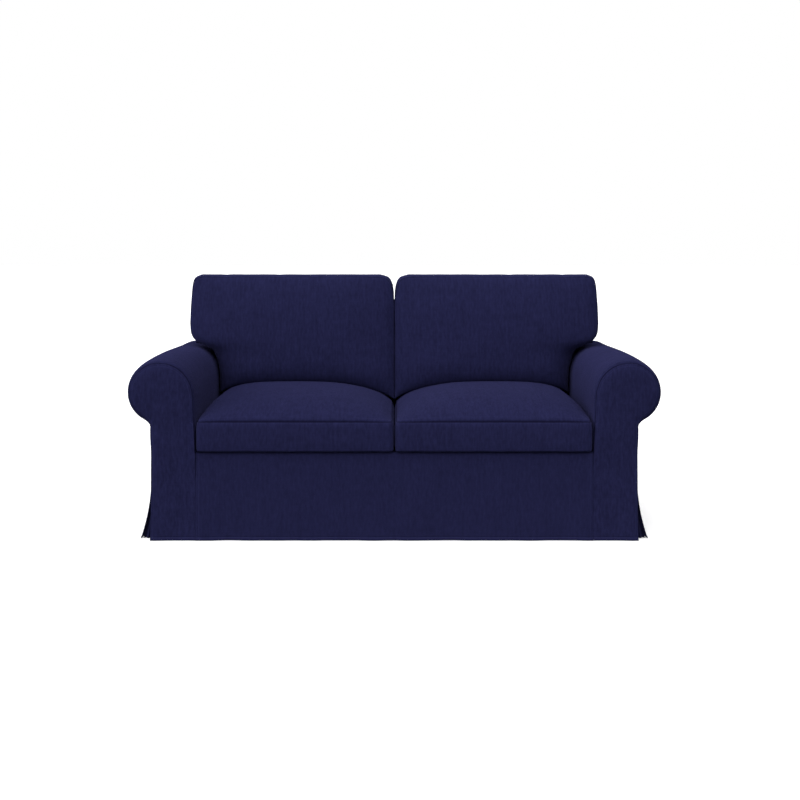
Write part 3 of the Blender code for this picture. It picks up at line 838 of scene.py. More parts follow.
def place_arm_roll(t, y):
    turned_in = np.clip(ROLL_FRONT - y, 0.0, None) + np.clip(y - ROLL_BACK, 0.0, None)
    y = np.clip(y, ROLL_FRONT, ROLL_BACK)
    length = DIP_LENGTH + (INSIDE_LENGTH - DIP_LENGTH) * unit(INSIDE_UNTIL - t)
    ends = ((y - ROLL_FRONT, SEAM_DIP, END_ROUND), (ROLL_BACK - y, REAR_DIP, REAR_ROUND))
    dip = 0.0
    for away, full_dip, rounding in ends:
        rest = unit(1 - away / rounding)
        slope = (full_dip - rounding) * np.exp(-away / length)
        dip = dip + slope + rounding * (1 - np.sqrt(1 - rest**2))
    from_front = y - ROLL_FRONT
    dip -= PUCKER * pucker(t * GATHER_PITCH, from_front) * unit(from_front / GATHERS_FROM)
    dip += UNEVEN * drift(t * SLOW, y, seed=0.8) + turned_in
    full = FRONT_FULL + (REAR_FULL - FRONT_FULL) * ease((y - FRONT_Y) / FULLER_OVER)
    x, z = arm_section(t, dip, full)
    return np.stack([x, y, z + arm_rise(y, z)], 1)


roll_columns = [0.0]
for start, count in enumerate(ROLL_COUNTS):
    roll_columns += list(np.linspace(start, start + 1, count)[1:])
roll_reach = (0.0005, 0.0012, 0.0022, 0.0036, 0.0055, 0.009)
roll_rows = spread(ROLL_FRONT, ROLL_BACK, step=0.012)
roll_rows = crowd(roll_rows, ROLL_FRONT, ROLL_BACK, reach=roll_reach)
roll_rows = [ROLL_FRONT - ALLOWANCE] + roll_rows + [ROLL_BACK + ALLOWANCE]
arm_roll, points, _ = lay_sheet(
    "arm_roll_cloth_right", roll_columns, roll_rows, place_arm_roll, (0, 0, 1), turned=True
)
to_ends = np.minimum(points[:, 1] - ROLL_FRONT, ROLL_BACK - points[:, 1])
keep(arm_roll, "sewn", FAR, 0.0, to_ends * NARROW)
finish_pair(arm_roll, "arm_roll_", (0.7120, 0.8600), "stretched", ["seat_deck", "arm_front_"])

# %% [markdown]
# ## Side skirts and corner pleats
# Each side of the skirt hangs from the neck of the arm. At the front corner it isn't sewn to the
# arm front but left open from knee height down, so it kicks out, and a folded insert shows darkly
# in the slit. The insert is laid column by column along its folds.

# %% Lay the side skirts
SLIT_Z = 0.185
FLARE_OUT = 0.0375
FLARE_CURVE = 1.55
FLARE_REACH = 0.16
FLARE_BACK = 0.032
FLARE_BACK_CURVE, FLARE_BACK_REACH = 1.1, 0.06
SIDE_WAVE, SIDE_WAVE_TURN = 0.003, 17.0  # half its swing, and radians a metre
SIDE_WAVE_FADE = 0.2
SLACK_OVER = 0.05  # below the neck, where the cloth is drawn tight
NECK_DIP = (0.0012, 0.003)
SIDE_FRONT, SIDE_BACK = FRONT_Y + CLOTH + SEAM, BACK_Y - CLOTH - SEAM


def slit_share(z):
    """How far down the open slit a height is, from 0 at its top to 1 at the hem."""
    return unit((SLIT_Z - z) / SLIT_Z)


def place_side_skirt(y, z):
    away = y - SIDE_FRONT
    swing = FLARE_OUT * slit_share(z) ** FLARE_CURVE * np.exp(-((away / FLARE_REACH) ** 2))
    wave = SIDE_WAVE * (1 + np.cos(y * SIDE_WAVE_TURN)) * hang(z)
    wave = wave * unit(away / SIDE_WAVE_FADE) * unit((SIDE_BACK - y) / SIDE_WAVE_FADE)
    slack = UNEVEN * (1 + drift(y, z, seed=4.0)) * unit((NECK_Z - z) / SLACK_OVER)
    x = skirt_x(z) + swing + wave + hem_fold(z) + slack - groove(NECK_Z - z, *NECK_DIP)
    back = FLARE_BACK * slit_share(z) ** FLARE_BACK_CURVE * np.exp(-away / FLARE_BACK_REACH)
    lift = hem_lift(z, along=y * 2.0, most=0.0008, shift=0.2, seed=2.2)
    return np.stack([x, y + back, z + lift], 1)


side_top = NECK_Z - 2 * SEAM
side_columns = crowd(spread(SIDE_FRONT, SIDE_BACK, step=0.011), SIDE_FRONT, SIDE_BACK)
side_rows = crowd(hem_rows(side_top), side_top, reach=SEAM_REACH)
side_skirt, points, flat = lay_sheet(
    "side_skirt_cloth_right", side_columns, side_rows, place_side_skirt, (1, 0, 0)
)
keep(side_skirt, "sewn", flat[:, 1] - HEM_STITCH, flat[:, 0], NECK_Z - points[:, 2])
side_flat = (0.8600, 0.3750)
finish_pair(side_skirt, "side_skirt_", side_flat, "hung", ["arm_roll_"], cloth=skirt_cloth)

# %% Lay the folded corner inserts
PLEAT_TOP_Z = 0.205
PLEAT_FOOT_Z = 0.0010
COLUMNS_A_FOLD = 30  # along which a fold's bend is worked out
BEND_COLUMNS = 9  # and softened over so many
PLEAT_COLUMNS = 81
PLEAT_FOLDS = (
    # top x, top y, hem x, hem y
    (0.7750, -0.4256, 0.7750, -0.4250),
    (0.8030, -0.4254, 0.8090, -0.4235),
    (0.8075, -0.4235, 0.8150, -0.4120),
    (0.8100, -0.4190, 0.8185, -0.3960),
    (0.8113, -0.4150, 0.8260, -0.3805),
    (0.8127, -0.4100, 0.8340, -0.3950),
    (0.8138, -0.4050, 0.8425, -0.3790),
    (0.8142, -0.3900, 0.8505, -0.3870),
)


def place_pleat(fold, z):
    """Between one fold and the next the cloth is nearly straight, and bends softly at each."""
    table = np.array(PLEAT_FOLDS)
    fine = np.linspace(0, len(table) - 1, len(table) * COLUMNS_A_FOLD + 1)
    edge = BEND_COLUMNS // 2
    softener = np.ones(BEND_COLUMNS) / BEND_COLUMNS
    top_x, top_y, hem_x, hem_y = (
        np.interp(
            fold,
            fine[edge:-edge],
            np.convolve(np.interp(fine, np.arange(len(table)), column), softener, "valid"),
        )
        for column in table.T
    )
    drop = slit_share(z) ** FLARE_CURVE
    return np.stack([top_x + (hem_x - top_x) * drop, top_y + (hem_y - top_y) * drop, z], 1)


pleat_columns = list(np.linspace(0, len(PLEAT_FOLDS) - 1, PLEAT_COLUMNS))
pleat_rows = crowd(spread(PLEAT_FOOT_Z, PLEAT_TOP_Z, step=0.010), HEM_STITCH, reach=HEM_REACH)
pleat, points, flat = lay_sheet(
    "pleat_cloth_right", pleat_columns, pleat_rows, place_pleat, (0.5, -0.5, 0)
)
keep(pleat, "sewn", points[:, 2] - HEM_STITCH, flat[:, 0], FAR)
pleat_flat = (0.1180, 0.2050)
finish_pair(pleat, "pleat_insert_", pleat_flat, "folded", ["arm_front_"], area=0.0175, offset=0.0)

# %% [markdown]
# ## Platform and back
# The platform under the seat cushions, the inner back behind the back cushions, the boxing strip
# over its top and the plain outer back finish the cover. They are hardly seen from the front, but
# the cover is looked at from all sides, so each has its seams, and the outer back its hem too.

# %% Lay the platform
DECK_SAG = 0.0006

deck_half = ARM_INNER_X - SEAM
deck_columns = spread(-deck_half, deck_half, step=0.02)
deck_rows = spread(FRONT_Y + DECK_SEAM_BACK + SEAM, INNER_BACK_Y + CLOTH, step=0.02)


def place_deck(x, y):
    return np.stack([x, y, DECK_Z - DECK_SAG * (1 + drift(x, y, seed=5.0))], 1)


deck = lay_sheet("seat_deck_cloth", deck_columns, deck_rows, place_deck, (0, 0, 1))[0]
finish_sheet(deck, "seat_deck", (1.3344, 0.7200), "stretched", ["front_skirt"])

# %% Lay the inner back
BACK_HALF = 0.775
BACK_TOP_Z = 0.780
BACK_CORNER_R = 0.040
REAR_TOP_Z = ARM_TOP_Z + 0.005
OVER_ARM = 0.002  # the first row above the arms
INNER_BACK_ROOM = 0.0010  # between the inner back and the arm
INNER_BACK_DIP = (0.0010, 0.003)
INNER_BACK_UNEVEN = 0.0004
UNDER_CORNER = 0.004  # the last straight row is this far under the rounded corner
TURNS = range(8, 88, 8)  # degrees round a corner at which a row lies


def back_half(z):
    """Half the width of the back above the arms, with its rounded top corners."""
    over = np.clip(z - (BACK_TOP_Z - BACK_CORNER_R), 0.0, BACK_CORNER_R)
    return BACK_HALF - BACK_CORNER_R + np.sqrt(np.clip(BACK_CORNER_R**2 - over**2, 0.0, None))


def arm_side(z):
    """Where the arm's inner side lies at a height."""
    return inner_curve(z, REAR_TOP_Z - ARM_SPRING_Z, ROLL_X - ARM_INNER_X, REAR_FULL)


def round_rows(start, height, turns=TURNS):
    """Rows over a height, closer towards its end, as a rounded edge needs."""
    return [start + height * math.sin(math.radians(turn)) for turn in turns]


def rows_above(start):
    """Rows of the back from a height above the arms up to its top seam."""
    corner_z = BACK_TOP_Z - BACK_CORNER_R
    straight = spread(start, corner_z - UNDER_CORNER, step=0.015)
    return straight + round_rows(corner_z, BACK_CORNER_R, (0, *TURNS))


def place_inner_back(share, z):
    half = back_half(z)
    half = np.where(z < REAR_TOP_Z, np.minimum(half, arm_side(z) - INNER_BACK_ROOM), half)
    x = half * share
    edge = np.minimum(half - np.abs(x), BACK_TOP_Z - z)
    y = INNER_BACK_Y + groove(edge, *INNER_BACK_DIP) - INNER_BACK_UNEVEN * drift(x, z, seed=6.0)
    return np.stack([x, y, z], 1)


back_shares = crowd(spread(-1.0, 1.0, step=0.025), -1.0, 1.0, reach=(0.0015, 0.004, 0.008))
inner_rows = spread(DECK_Z + SEAM, ARM_SPRING_Z, step=0.02)
inner_rows += round_rows(ARM_SPRING_Z, REAR_TOP_Z - ARM_SPRING_Z)
inner_rows += rows_above(REAR_TOP_Z + OVER_ARM)
inner_back, points, _ = lay_sheet(
    "inner_back_cloth", back_shares, inner_rows, place_inner_back, (0, -1, 0), planar=(0, 2)
)
x, _, z = points.T
to_edge = np.where(z > REAR_TOP_Z, np.minimum(back_half(z) - np.abs(x), BACK_TOP_Z - z), FAR)
keep(inner_back, "sewn", np.where(z > REAR_TOP_Z, to_edge - TOP_STITCH, FAR), x, to_edge)
finish_sheet(inner_back, "inner_back", (1.5500, 0.4827), "stretched", ["seat_deck"], area=0.69)

# %% Lay the boxing strip
BOXING_BULGE = 0.0015
BOXING_UNEVEN = 0.0003
BOXING_FOOT = ARM_TOP_Z - 0.0007
SIDE_RUN = BACK_TOP_Z - BACK_CORNER_R - BOXING_FOOT
CORNER_RUN = BACK_CORNER_R * math.pi / 2
HALF_RUN = SIDE_RUN + CORNER_RUN + BACK_HALF - BACK_CORNER_R


def place_boxing(length, y):
    """Up the right side, round the corner, over the top and down the left side."""
    run = HALF_RUN - np.abs(length)
    turn = np.clip((run - SIDE_RUN) / BACK_CORNER_R, 0.0, math.pi / 2)
    over = np.clip(run - SIDE_RUN - CORNER_RUN, 0.0, None)
    across = (2 * y - INNER_BACK_Y - BACK_Y) / (BACK_Y - INNER_BACK_Y)
    bulge = BOXING_BULGE * (1 - across**2) + BOXING_UNEVEN * drift(length, y)
    radius = BACK_CORNER_R + bulge
    x = BACK_HALF - BACK_CORNER_R + radius * np.cos(turn) - over
    z = BOXING_FOOT + np.minimum(run, SIDE_RUN) + radius * np.sin(turn)
    z += arm_rise(y, ARM_TOP_Z) * unit(1 - run / SIDE_RUN)
    return np.stack([-np.sign(length + 1e-12) * x, y, z], 1)


bend = HALF_RUN - SIDE_RUN - CORNER_RUN / 2
bend_reach = (0.004, 0.009, 0.014, 0.019, 0.025, 0.032)
boxing_columns = crowd(spread(-HALF_RUN, HALF_RUN, step=0.02), -bend, bend, reach=bend_reach)
boxing_ends = INNER_BACK_Y + CLOTH + SEAM, BACK_Y - CLOTH - SEAM
boxing_rows = crowd(spread(*boxing_ends, step=0.012), *boxing_ends, reach=SEAM_REACH)
boxing, points, flat = lay_sheet(
    "back_boxing_cloth", boxing_columns, boxing_rows, place_boxing, (0, 0, 1)
)
to_ends = np.minimum(points[:, 1] - boxing_ends[0], boxing_ends[1] - points[:, 1])
keep(boxing, "sewn", FAR, flat[:, 0], to_ends)
boxing_flat = (1.8700, 0.1254)
finish_sheet(boxing, "back_boxing", boxing_flat, "stretched", ["inner_back", "outer_back"])

# %% Lay the outer back
OUTER_BACK_DIP = (0.0012, 0.003)
NEXT_OVER_ARM = 0.014  # the second row above the arms

scroll_x, scroll_z = arm_section(scroll_t(40, 2.02), REAR_DIP)
scroll_z = scroll_z + arm_rise(BACK_Y, scroll_z)
low_rows = hem_rows(NECK_Z - NECK_ROOM, step=0.012)
high_rows = [REAR_TOP_Z + OVER_ARM] + rows_above(REAR_TOP_Z + NEXT_OVER_ARM)
low_half, high_half = skirt_x(np.array(low_rows)) + SIDE_SEAM, back_half(np.array(high_rows))
outer_rows, outer_half = [*low_rows, *scroll_z, *high_rows], [*low_half, *scroll_x, *high_half]


def outer_edge(x, z):
    """How far a point of the outer back is from the panel's edge."""
    return np.minimum(np.interp(z, outer_rows, outer_half) - np.abs(x), BACK_TOP_Z - z)


def place_outer_back(share, z):
    x = np.interp(z, outer_rows, outer_half) * share
    y = BACK_Y + hem_swing(x, z) + hem_fold(z) - groove(outer_edge(x, z), *OUTER_BACK_DIP)
    y += UNEVEN * drift(x, z, seed=7.0)
    return np.stack([x, y, z + hem_lift(z, along=x * 2.0, most=0.0008, shift=0.4, seed=3.2)], 1)


outer_shares = crowd(spread(-1.0, 1.0, step=0.0125), -1.0, 1.0, reach=(0.0015, 0.003, 0.006))
outer_back, points, _ = lay_sheet(
    "outer_back_cloth", outer_shares, outer_rows, place_outer_back, (0, 1, 0), planar=(0, 2)
)
x, _, z = points.T
keep(outer_back, "sewn", z - HEM_STITCH, x, outer_edge(x, z))
finish_sheet(outer_back, "outer_back", (1.7850, 0.7800), "hung", ["back_boxing"], area=1.29)

# %% [markdown]
# ## Cushions
# The four cushions are loose. Each is a filled cover of two panels and a boxing strip round its
# edge. A block is cut into strips and bent to the cushion's drawn-in sides and crown, then its
# cover is blown up a little as cloth, with the seams held, so that it swells as filling makes it.
# One subdivision follows, and only then are the seams pressed in, because a finer mesh holds a
# finer line.

# %% Cut a block into strips
ON_FACE = 0.9999  # a point of the block this far out lies on one of its faces
FACES = ((2, 0, 1), (1, 0, 2), (0, 1, 2))  # a face's own direction, and the two along it
CROWDED = 0.85  # how much the strips crowd towards the seams
RUNS_ALONG = 0.9  # an edge runs along an axis if this share of its length does
SAME_LINE = 1e-4


def cut_block(name, cuts):
    """A cube of 2 m, cut into strips along each direction, closer towards its edges."""
    bpy.ops.object.select_all(action="DESELECT")
    bpy.ops.mesh.primitive_cube_add(size=2.0)
    piece = bpy.context.object
    piece.name = piece.data.name = name
    bpy.ops.object.mode_set(mode="EDIT")
    bpy.ops.mesh.select_mode(type="EDGE")
    for axis, count in enumerate(cuts):
        bpy.ops.mesh.select_all(action="DESELECT")
        cage = bmesh.from_edit_mesh(piece.data)
        for edge in cage.edges:
            way = edge.verts[1].co - edge.verts[0].co
            edge.select = abs(way[axis]) > RUNS_ALONG * way.length
        bmesh.update_edit_mesh(piece.data)
        bpy.ops.mesh.subdivide(number_cuts=count)
    bpy.ops.object.mode_set(mode="OBJECT")
    even = read_points(piece)
    return piece, CROWDED * np.sin(even * np.pi / 2) + (1 - CROWDED) * even


print("strips crowd towards the seams by", CROWDED)


def unroll(piece, cube, points, cut):
    """The UV map, in metres: lengths over the middle lines of each face of the block.

    Where cut names two axes, the two panels are flat as they were cut instead.
    """
    corners = read(piece.data.loops, "vertex_index", 1, int)
    spots, uv = cube[corners], np.zeros((len(corners), 2))
    for axis, first, second in FACES:
        for side in (-1, 1):
            quads = (spots[:, axis] * side > ON_FACE).reshape(-1, 4).all(1)
            loops, face = np.repeat(quads, 4), cube[:, axis] * side > ON_FACE
            for column, key, other in ((0, first, second), (1, second, first)):
                middle = cube[face, other][np.abs(cube[face, other]).argmin()]
                line = face & (np.abs(cube[:, other] - middle) < SAME_LINE)
                order = np.argsort(cube[line, key])
                lengths = run_length(points[line][order])
                uv[loops, column] = np.interp(spots[loops, key], cube[line, key][order], lengths)
            if axis == 2 and cut:
                uv[loops] = points[corners[loops]][:, cut]
    write_uv(piece, uv)


# %% Fill a cushion
FILL_STEPS = 20
FILL_PRESSURE = 4.0
FILL_CAP = 0.0035  # no point swells further than this
NEARLY_ALL = 97  # percent of the points, which the cap is set by
FILL_SETTINGS = {
    "quality": 4,
    "mass": 0.35,
    "use_pressure": True,
    "uniform_pressure_force": FILL_PRESSURE,
    "tension_stiffness": 12.0,
    "compression_stiffness": 12.0,
    "bending_stiffness": 0.4,
}


def fill(piece, held):
    """Blows the cover up as cloth, with the held points sewn fast."""
    rest = read_points(piece)
    group = piece.vertex_groups.new(name="sewn_fast")
    group.add([int(i) for i in np.flatnonzero(held)], 1.0, "REPLACE")
    only(piece)
    filling = piece.modifiers.new("filling", "CLOTH")
    for name, value in FILL_SETTINGS.items():
        setattr(filling.settings, name, value)
    filling.settings.vertex_group_mass = group.name
    filling.settings.effector_weights.gravity = 0.0
    filling.point_cache.frame_start, filling.point_cache.frame_end = 1, FILL_STEPS
    for step in range(1, FILL_STEPS + 1):
        bpy.context.scene.frame_set(step)
    bpy.ops.object.modifier_apply(modifier="filling")
    bpy.context.scene.frame_set(1)
    move = read_points(piece) - rest
    far = np.linalg.norm(move, axis=1)
    share = FILL_CAP / max(FILL_CAP, float(np.percentile(far, NEARLY_ALL)))
    move *= (np.minimum(far * share, FILL_CAP) / np.maximum(far, 1e-9))[:, None]
    write_points(piece, rest + move)
    piece.vertex_groups.clear()
    swelled = [round(float(v) * 1000, 1) for v in np.percentile(far, (50, NEARLY_ALL, 100))]
    print(piece.name, "swelled", swelled, "mm, kept under", FILL_CAP * 1000)


# %% Press a cushion's seams
SEAM_HELD = 0.0015  # the filling doesn't move what is this close to a seam
PRESS_WIDTH = 0.0018
ROLL_AWAY, ROLL_WIDTH = 0.0045, 0.0025  # the small roll of the panel beside its seam
GATHER, GATHER_REACH = 0.0006, 0.012
CUSHION_UNEVEN = 0.0006
LEAST_DRAWN = 0.05  # keeps the seam's painted shade from spreading where the seam isn't drawn in


def seam_distance(cube, half):
    """How far each point is from the nearer seam ring, its place along it, and if on a panel."""
    room = (1 - np.abs(cube)) * np.array(half)
    panel = np.abs(cube[:, 2]) > ON_FACE
    beside = room[:, 0] < room[:, 1]
    off = np.where(panel, np.minimum(room[:, 0], room[:, 1]), room[:, 2])
    on_side = np.where(panel, beside, np.abs(cube[:, 0]) > ON_FACE)
    along = np.where(on_side, cube[:, 1] * half[1], cube[:, 0] * half[0])
    return off, along, panel.astype(float)


def press_seams(piece, off, along, panel, drawn, roll, depth):
    """Pulls the cover in at its seams, with a small roll on the panel's side and gathers."""
    beside = roll * panel * np.exp(-(((off - ROLL_AWAY) / ROLL_WIDTH) ** 2))
    move = -groove(off, depth, PRESS_WIDTH) + beside + GATHER * pucker(along, off, GATHER_REACH)
    move = move * drawn + CUSHION_UNEVEN * drift(along * 2.0, off * 3.0)
    write_points(piece, read_points(piece) + read(piece.data.vertices, "normal") * move[:, None])


def make_cushion(name, cuts, half, shape, held, drawn_at, limits, roll, depth, shade, cut=None):
    """A block bent to shape, filled, subdivided, and pressed in at its seams."""
    piece, cube = cut_block(name, cuts)
    points = shape(cube)
    write_points(piece, points)
    unroll(piece, cube, points, cut)
    off, along, panel = seam_distance(cube, half)
    keep(piece, "sewn", off, along, panel)
    keep(piece, "drawn", drawn_at(cube))
    fill(piece, (off < SEAM_HELD) | held(cube))
    write_points(piece, limits(read_points(piece)))
    apply_modifier(piece, "SUBSURF", levels=1, render_levels=1)
    off, along, panel = read(piece.data.attributes["sewn"].data, "vector").T
    drawn = read(piece.data.attributes["drawn"].data, "value", 1)
    press_seams(piece, off, along, panel, drawn, roll, depth)
    write_points(piece, limits(read_points(piece)))
    keep(piece, "sewn", FAR, along, off / (shade * np.maximum(drawn, LEAST_DRAWN)))
    finish(piece, cushion_cloth)
    return piece


# %% [markdown]
# ### Seat cushions
# A seat cushion is a firm block with a high crown: its front edge is upright, its top rises quickly
# behind the seam and is nearly level in the middle. It is flat under, where it lies on the
# platform, and flat where the two cushions meet.

# %% Shape a seat cushion
SEAT_X = (0.0010, 0.6665)
SEAT_Y = (FRONT_Y, INNER_BACK_Y - SEAM)
SEAT_MID = (sum(SEAT_X) / 2, sum(SEAT_Y) / 2)
SEAT_HALF = ((SEAT_X[1] - SEAT_X[0]) / 2, (SEAT_Y[1] - SEAT_Y[0]) / 2)
SEAT_BOTTOM_Z = DECK_Z + SEAM
SEAT_SEAMS_Z = (0.3005, 0.3995)
SEAT_CROWN = 0.083
SEAT_BULGE = 0.0050
BULGE_POWER = 6  # keeps the boxing upright up to its seams
LOWER_BULGE = 0.4  # the boxing is drawn in less at its lower seam
LOWER_DRAWN = 0.35
RIM_POWER = 30  # keeps the underside flat up to its rim
SEAT_PROUD, PROUD_REACH = 0.016, 0.05
PLAN_CORNER = 0.012
BY_ARM, BY_TWIN = (4.2, 0.45), (2.3, 0.57)  # power and flatness of the crown's sides
AT_FRONT, AT_REAR = (2.5, 0.52), (5.0, 0.50)
SEAT_LOW = (SEAT_X[0] - 0.0004, -0.4520, SEAT_BOTTOM_Z - 0.0001)  # the box that it stays in
SEAT_HIGH = (ARM_INNER_X - 0.0006, SEAT_Y[1], 0.4900)


def dome(share, power, flatness):
    """1 in the middle of a panel and 0 at its seams."""
    return unit(1 - np.abs(share) ** power) ** flatness


def seat_top(across, along):
    """Height of a seat cushion's crown: full against the arm and at the rear, softer elsewhere."""
    side = np.where(across > 0, dome(across, *BY_ARM), dome(across, *BY_TWIN))
    depth = np.where(along < 0, dome(along, *AT_FRONT), dome(along, *AT_REAR))
    return SEAT_SEAMS_Z[1] + SEAT_CROWN * side * depth


def round_plan(x, y, half_x, half_y, radius):
    """Rounds the corners of a plan without moving its sides."""
    over_x, over_y = np.abs(x) - (half_x - radius), np.abs(y) - (half_y - radius)
    corner = (over_x > 0) & (over_y > 0)
    square, circle = np.maximum(over_x, over_y), np.maximum(np.hypot(over_x, over_y), 1e-9)
    pull = np.where(corner, square / circle, 1.0)
    x = np.where(corner, np.sign(x) * (half_x - radius + over_x * pull), x)
    return x, np.where(corner, np.sign(y) * (half_y - radius + over_y * pull), y)


def seat_shape(cube):
    a, b, c = cube.T
    edge = np.maximum(np.abs(a), np.abs(b))
    half_x, half_y = (half - SEAT_BULGE for half in SEAT_HALF)
    x, y = round_plan(a * half_x, b * half_y, half_x, half_y, PLAN_CORNER)
    drawn = c**BULGE_POWER * np.where(c < 0, LOWER_BULGE, 1.0)
    outward = SEAT_BULGE * (1 - drawn) * (edge > ON_FACE)
    x += outward * np.sign(a) * (np.abs(a) > ON_FACE)
    y += outward * np.sign(b) * (np.abs(b) > ON_FACE)
    y -= SEAT_PROUD * np.exp(-(b + 1) / PROUD_REACH)
    lower, upper = SEAT_SEAMS_Z
    bottom = SEAT_BOTTOM_Z + (lower - SEAT_BOTTOM_Z) * edge**RIM_POWER
    side = lower + (upper - lower) * (c + 1) / 2
    z = np.where(c > ON_FACE, seat_top(a, b), np.where(c < -ON_FACE, bottom, side))
    return np.stack([x + SEAT_MID[0], y + SEAT_MID[1], z], 1)


def seat_limits(points):
    """A seat cushion stays off its twin, the arm, the back and the platform."""
    return np.clip(points, SEAT_LOW, SEAT_HIGH)


print("seat cushion's crown at", round(SEAT_SEAMS_Z[1] + SEAT_CROWN, 4))

# %% Make the seat cushions
seat_cushion = make_cushion(
    "seat_cushion_cloth_right",
    cuts=(56, 60, 15),
    half=(0.332, 0.367, 0.049),
    shape=seat_shape,
    held=lambda cube: cube[:, 2] < -ON_FACE,
    drawn_at=lambda cube: np.where(cube[:, 2] < 0, LOWER_DRAWN, 1.0),
    limits=seat_limits,
    roll=0.0012,
    depth=0.0018,
    shade=0.9,
)
seat_cushion_left = turn_over(seat_cushion)

# %% [markdown]
# ### Back cushions
# A back cushion is softer and fuller. It stands on the seat cushion and leans on the back, and its
# outer side has a wing that lies over the arm. Its outline is a short table of heights and edges,
# and its seam lies a centimetre inside that outline, so that the boxing swells past it.

# %% Measure a back cushion
BACK_OUTLINE = (
    # z, inner x, outer x
    (0.4400, 0.0006, 0.6560),
    (0.4900, 0.0006, 0.6565),
    (0.5300, 0.0006, 0.6600),
    (0.5620, 0.0006, 0.6680),
    (0.5900, 0.0006, 0.6800),
    (0.6060, 0.0006, 0.6940),
    (0.6150, 0.0006, 0.7100),
    (0.6220, 0.0006, 0.7300),
    (0.6310, 0.0006, 0.7500),
    (0.6430, 0.0006, 0.7650),
    (0.6620, 0.0006, 0.7745),
    (0.7000, 0.0006, 0.7785),
    (0.7600, 0.0006, 0.7760),
    (0.8200, 0.0007, 0.7725),
    (0.8440, 0.0040, 0.7700),
    (0.8620, 0.0120, 0.7655),
    (0.8740, 0.0240, 0.7575),
    (0.8820, 0.0560, 0.7350),
)
BACK_FRONT_Y = 0.100
BACK_LEAN = 0.035
BACK_REAR_Y = 0.280
BACK_CROWN = 0.055
BACK_REAR_CROWN = 0.0245
BACK_INSET, INSET_POWER = 0.0095, 2.4
BACK_BELLY = 0.16  # the fullest part lies this much below the middle
TOP_Z = 0.845  # above this the outline rounds off
TOUCHING_Z = 0.82  # below this the two cushions touch
ARM_REACH_Z = 0.625  # and below this a cushion is pressed by the arm
FADE_Z = 0.04
TOP_DIPS = (0.437, 0.643)  # x of two shallow dips in the top edge
TOP_DIP = (0.0024, 0.011)
ARM_SETBACK = 0.030
SIDE_SWELL = 0.010  # the boxing swells this much against the arm
SEAT_SPAN = 0.95
SINK = 0.006  # the foot starts this much too low, and is then laid on the seat cushion
SETTLE_OVER, SETTLE_CURVE = 0.75, 1.5  # how far up the cushion follows the seat under it
INSET_KEPT = 0.003
EASED_AT_TOP, EASED_TOUCHING, EASED_BESIDE_ARM = 0.3, 0.93, 0.6  # shares taken off the inset
BACK_DOME = (2.6, 0.6)  # power and flatness of the crown
LOWER_FULLER = 3.0  # what its power gains towards the foot
FULLER_FROM, FULLER_SPAN = 0.4, 0.6
SETBACK_FROM, SETBACK_SPAN = 0.72, 0.28
BACK_LOW = (0.0004, 0.0300, 0.4000)  # the box that it stays in
BACK_HIGH = (0.7760, INNER_BACK_Y - 0.0004, 0.8838)
ARM_PRESSES_UNDER = 0.006  # below the arm's crown
ARM_ROOM = 0.0012
print("back cushion's outline:", len(BACK_OUTLINE), "heights")

# %% Soften a table
TABLE_STEP, TABLE_MARGIN = 0.0005, 0.02
SOFTENED_OVER = 21  # steps
ENDS_HELD = 12


def smooth_table(table, key, column):
    """A column of a table at any key, with its corners softened."""
    rows = np.array(table)
    fine = np.arange(rows[0, 0] - TABLE_MARGIN, rows[-1, 0] + TABLE_MARGIN, TABLE_STEP)
    softener = np.hanning(SOFTENED_OVER) / np.hanning(SOFTENED_OVER).sum()
    values = np.convolve(np.interp(fine, rows[:, 0], rows[:, column]), softener, "same")
    values[:ENDS_HELD], values[-ENDS_HELD:] = rows[0, column], rows[-1, column]
    return np.interp(key, fine, values)


print("corners of a table softened over", SOFTENED_OVER * TABLE_STEP, "m")


# %% Shape a back cushion
def on_seat(x, y):
    """Height of the seat cushion under a point."""
    sides = zip((x, y), SEAT_MID, SEAT_HALF)
    across, along = (np.clip((value - mid) / half, -1, 1) for value, mid, half in sides)
    return seat_top(across * SEAT_SPAN, along * SEAT_SPAN)


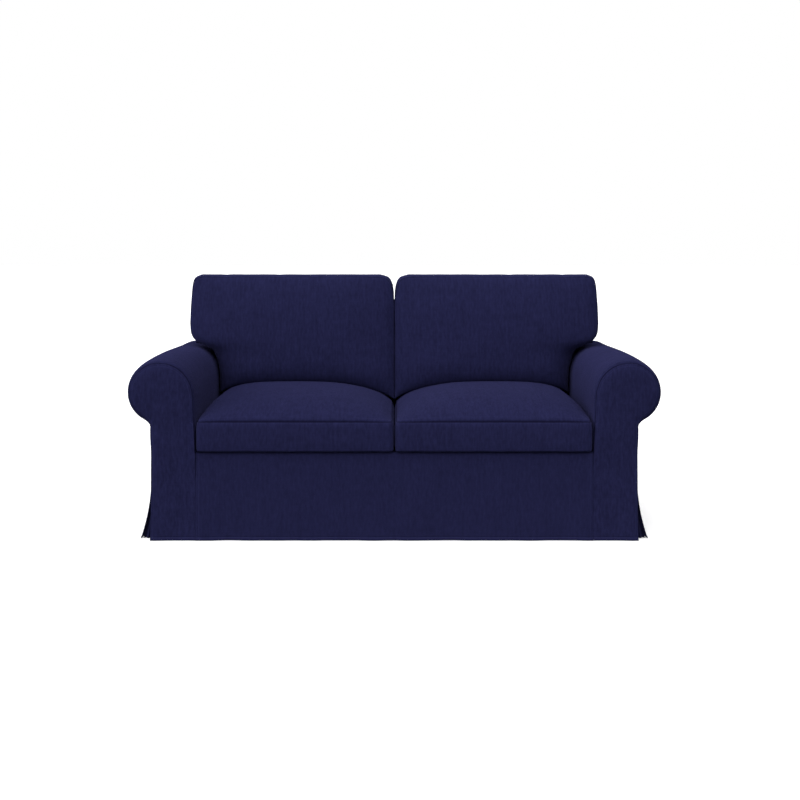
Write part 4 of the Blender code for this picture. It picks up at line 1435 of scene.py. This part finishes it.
def back_shape(cube):
    a, b, c = cube.T
    low, high = BACK_OUTLINE[0][0], BACK_OUTLINE[-1][0]
    level = low + (high - low) * (b + 1) / 2
    at_top = unit((level - TOP_Z) / (high - TOP_Z))
    touching = unit((TOUCHING_Z - level) / FADE_Z)
    beside_arm = unit((ARM_REACH_Z - level) / FADE_Z)
    inset = BACK_INSET * np.abs(c) ** INSET_POWER
    eased = inset * (1 - EASED_AT_TOP * at_top)
    inner = smooth_table(BACK_OUTLINE, level, 1) + eased * (1 - EASED_TOUCHING * touching)
    outer = smooth_table(BACK_OUTLINE, level, 2) - eased * (1 - EASED_BESIDE_ARM * beside_arm)
    outer = outer + SIDE_SWELL * beside_arm * (1 - c**2)
    x = inner + (outer - inner) * (a + 1) / 2
    power, flatness = BACK_DOME
    fuller = LOWER_FULLER * unit((-b - FULLER_FROM) / FULLER_SPAN)
    crown = dome(a, power + fuller, flatness)
    crown = crown * dome(b + BACK_BELLY * (1 - b**2), power, flatness)
    front = BACK_FRONT_Y + BACK_LEAN * (b + 1) / 2
    front = front + ARM_SETBACK * beside_arm * unit((a - SETBACK_FROM) / SETBACK_SPAN) ** 2
    y = front + (BACK_REAR_Y - front) * (c + 1) / 2
    y = y - BACK_CROWN * crown * (c < -ON_FACE) + BACK_REAR_CROWN * crown * (c > ON_FACE)
    settle = unit(1 - (b + 1) / SETTLE_OVER) ** SETTLE_CURVE
    z = level + (on_seat(x, y) - SINK - low) * settle - (inset - INSET_KEPT) * at_top
    for dip_x in TOP_DIPS:
        z -= groove(x - dip_x, *TOP_DIP) * at_top
    return np.stack([x, y, z], 1)


def back_limits(points):
    """A back cushion stays off its twin and the back, and inside the cover's height."""
    points = np.clip(points, BACK_LOW, BACK_HIGH)
    z = points[:, 2]
    pressed = z < ARM_TOP_Z - ARM_PRESSES_UNDER
    arm = np.where(pressed, arm_side(z) - ARM_ROOM, BACK_HIGH[0])
    points[:, 0] = np.minimum(points[:, 0], arm)
    return points


print("it stands on a seat cushion", round(float(on_seat(*SEAT_MID)), 4), "m high in the middle")

# %% Make the back cushion
back_cushion = make_cushion(
    "back_cushion_cloth_right",
    cuts=(58, 58, 17),
    half=(0.360, 0.220, 0.085),
    shape=back_shape,
    held=lambda cube: cube[:, 1] < -ON_FACE,
    drawn_at=lambda cube: 0.15 + 0.85 * unit((cube[:, 1] + 0.98) / 0.1),
    limits=back_limits,
    roll=0.0006,
    depth=0.0012,
    shade=0.6,
    cut=(0, 2),
)

# %% Stand it on the seat cushion
LOOK_FROM_Z = 0.60
FOOT_UNDER_Z = 0.56
STANDING_ROOM = 0.0008

seat_mesh = seat_cushion.data
seat_tree = BVHTree.FromPolygons(
    [v.co for v in seat_mesh.vertices], [p.vertices for p in seat_mesh.polygons]
)
points = read_points(back_cushion)
raised = 0
for index in np.flatnonzero(points[:, 2] < FOOT_UNDER_Z):
    above = Vector((points[index, 0], points[index, 1], LOOK_FROM_Z))
    hit = seat_tree.ray_cast(above, Vector((0, 0, -1)))[0]
    if hit is not None and points[index, 2] < hit.z + STANDING_ROOM:
        points[index, 2] = hit.z + STANDING_ROOM
        raised += 1
write_points(back_cushion, points)
print("points raised off the seat cushion:", raised)
back_cushion_left = turn_over(back_cushion)

# %% Say what each cushion stands for
for piece, node, filled in (
    (seat_cushion, "seat_cushion_right", 0.8),
    (seat_cushion_left, "seat_cushion_left", 0.8),
    (back_cushion, "back_cushion_right", 0.65),
    (back_cushion_left, "back_cushion_left", 0.65),
):
    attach(piece, "root")
    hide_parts(node)
    print(piece.name, "stands for", node)
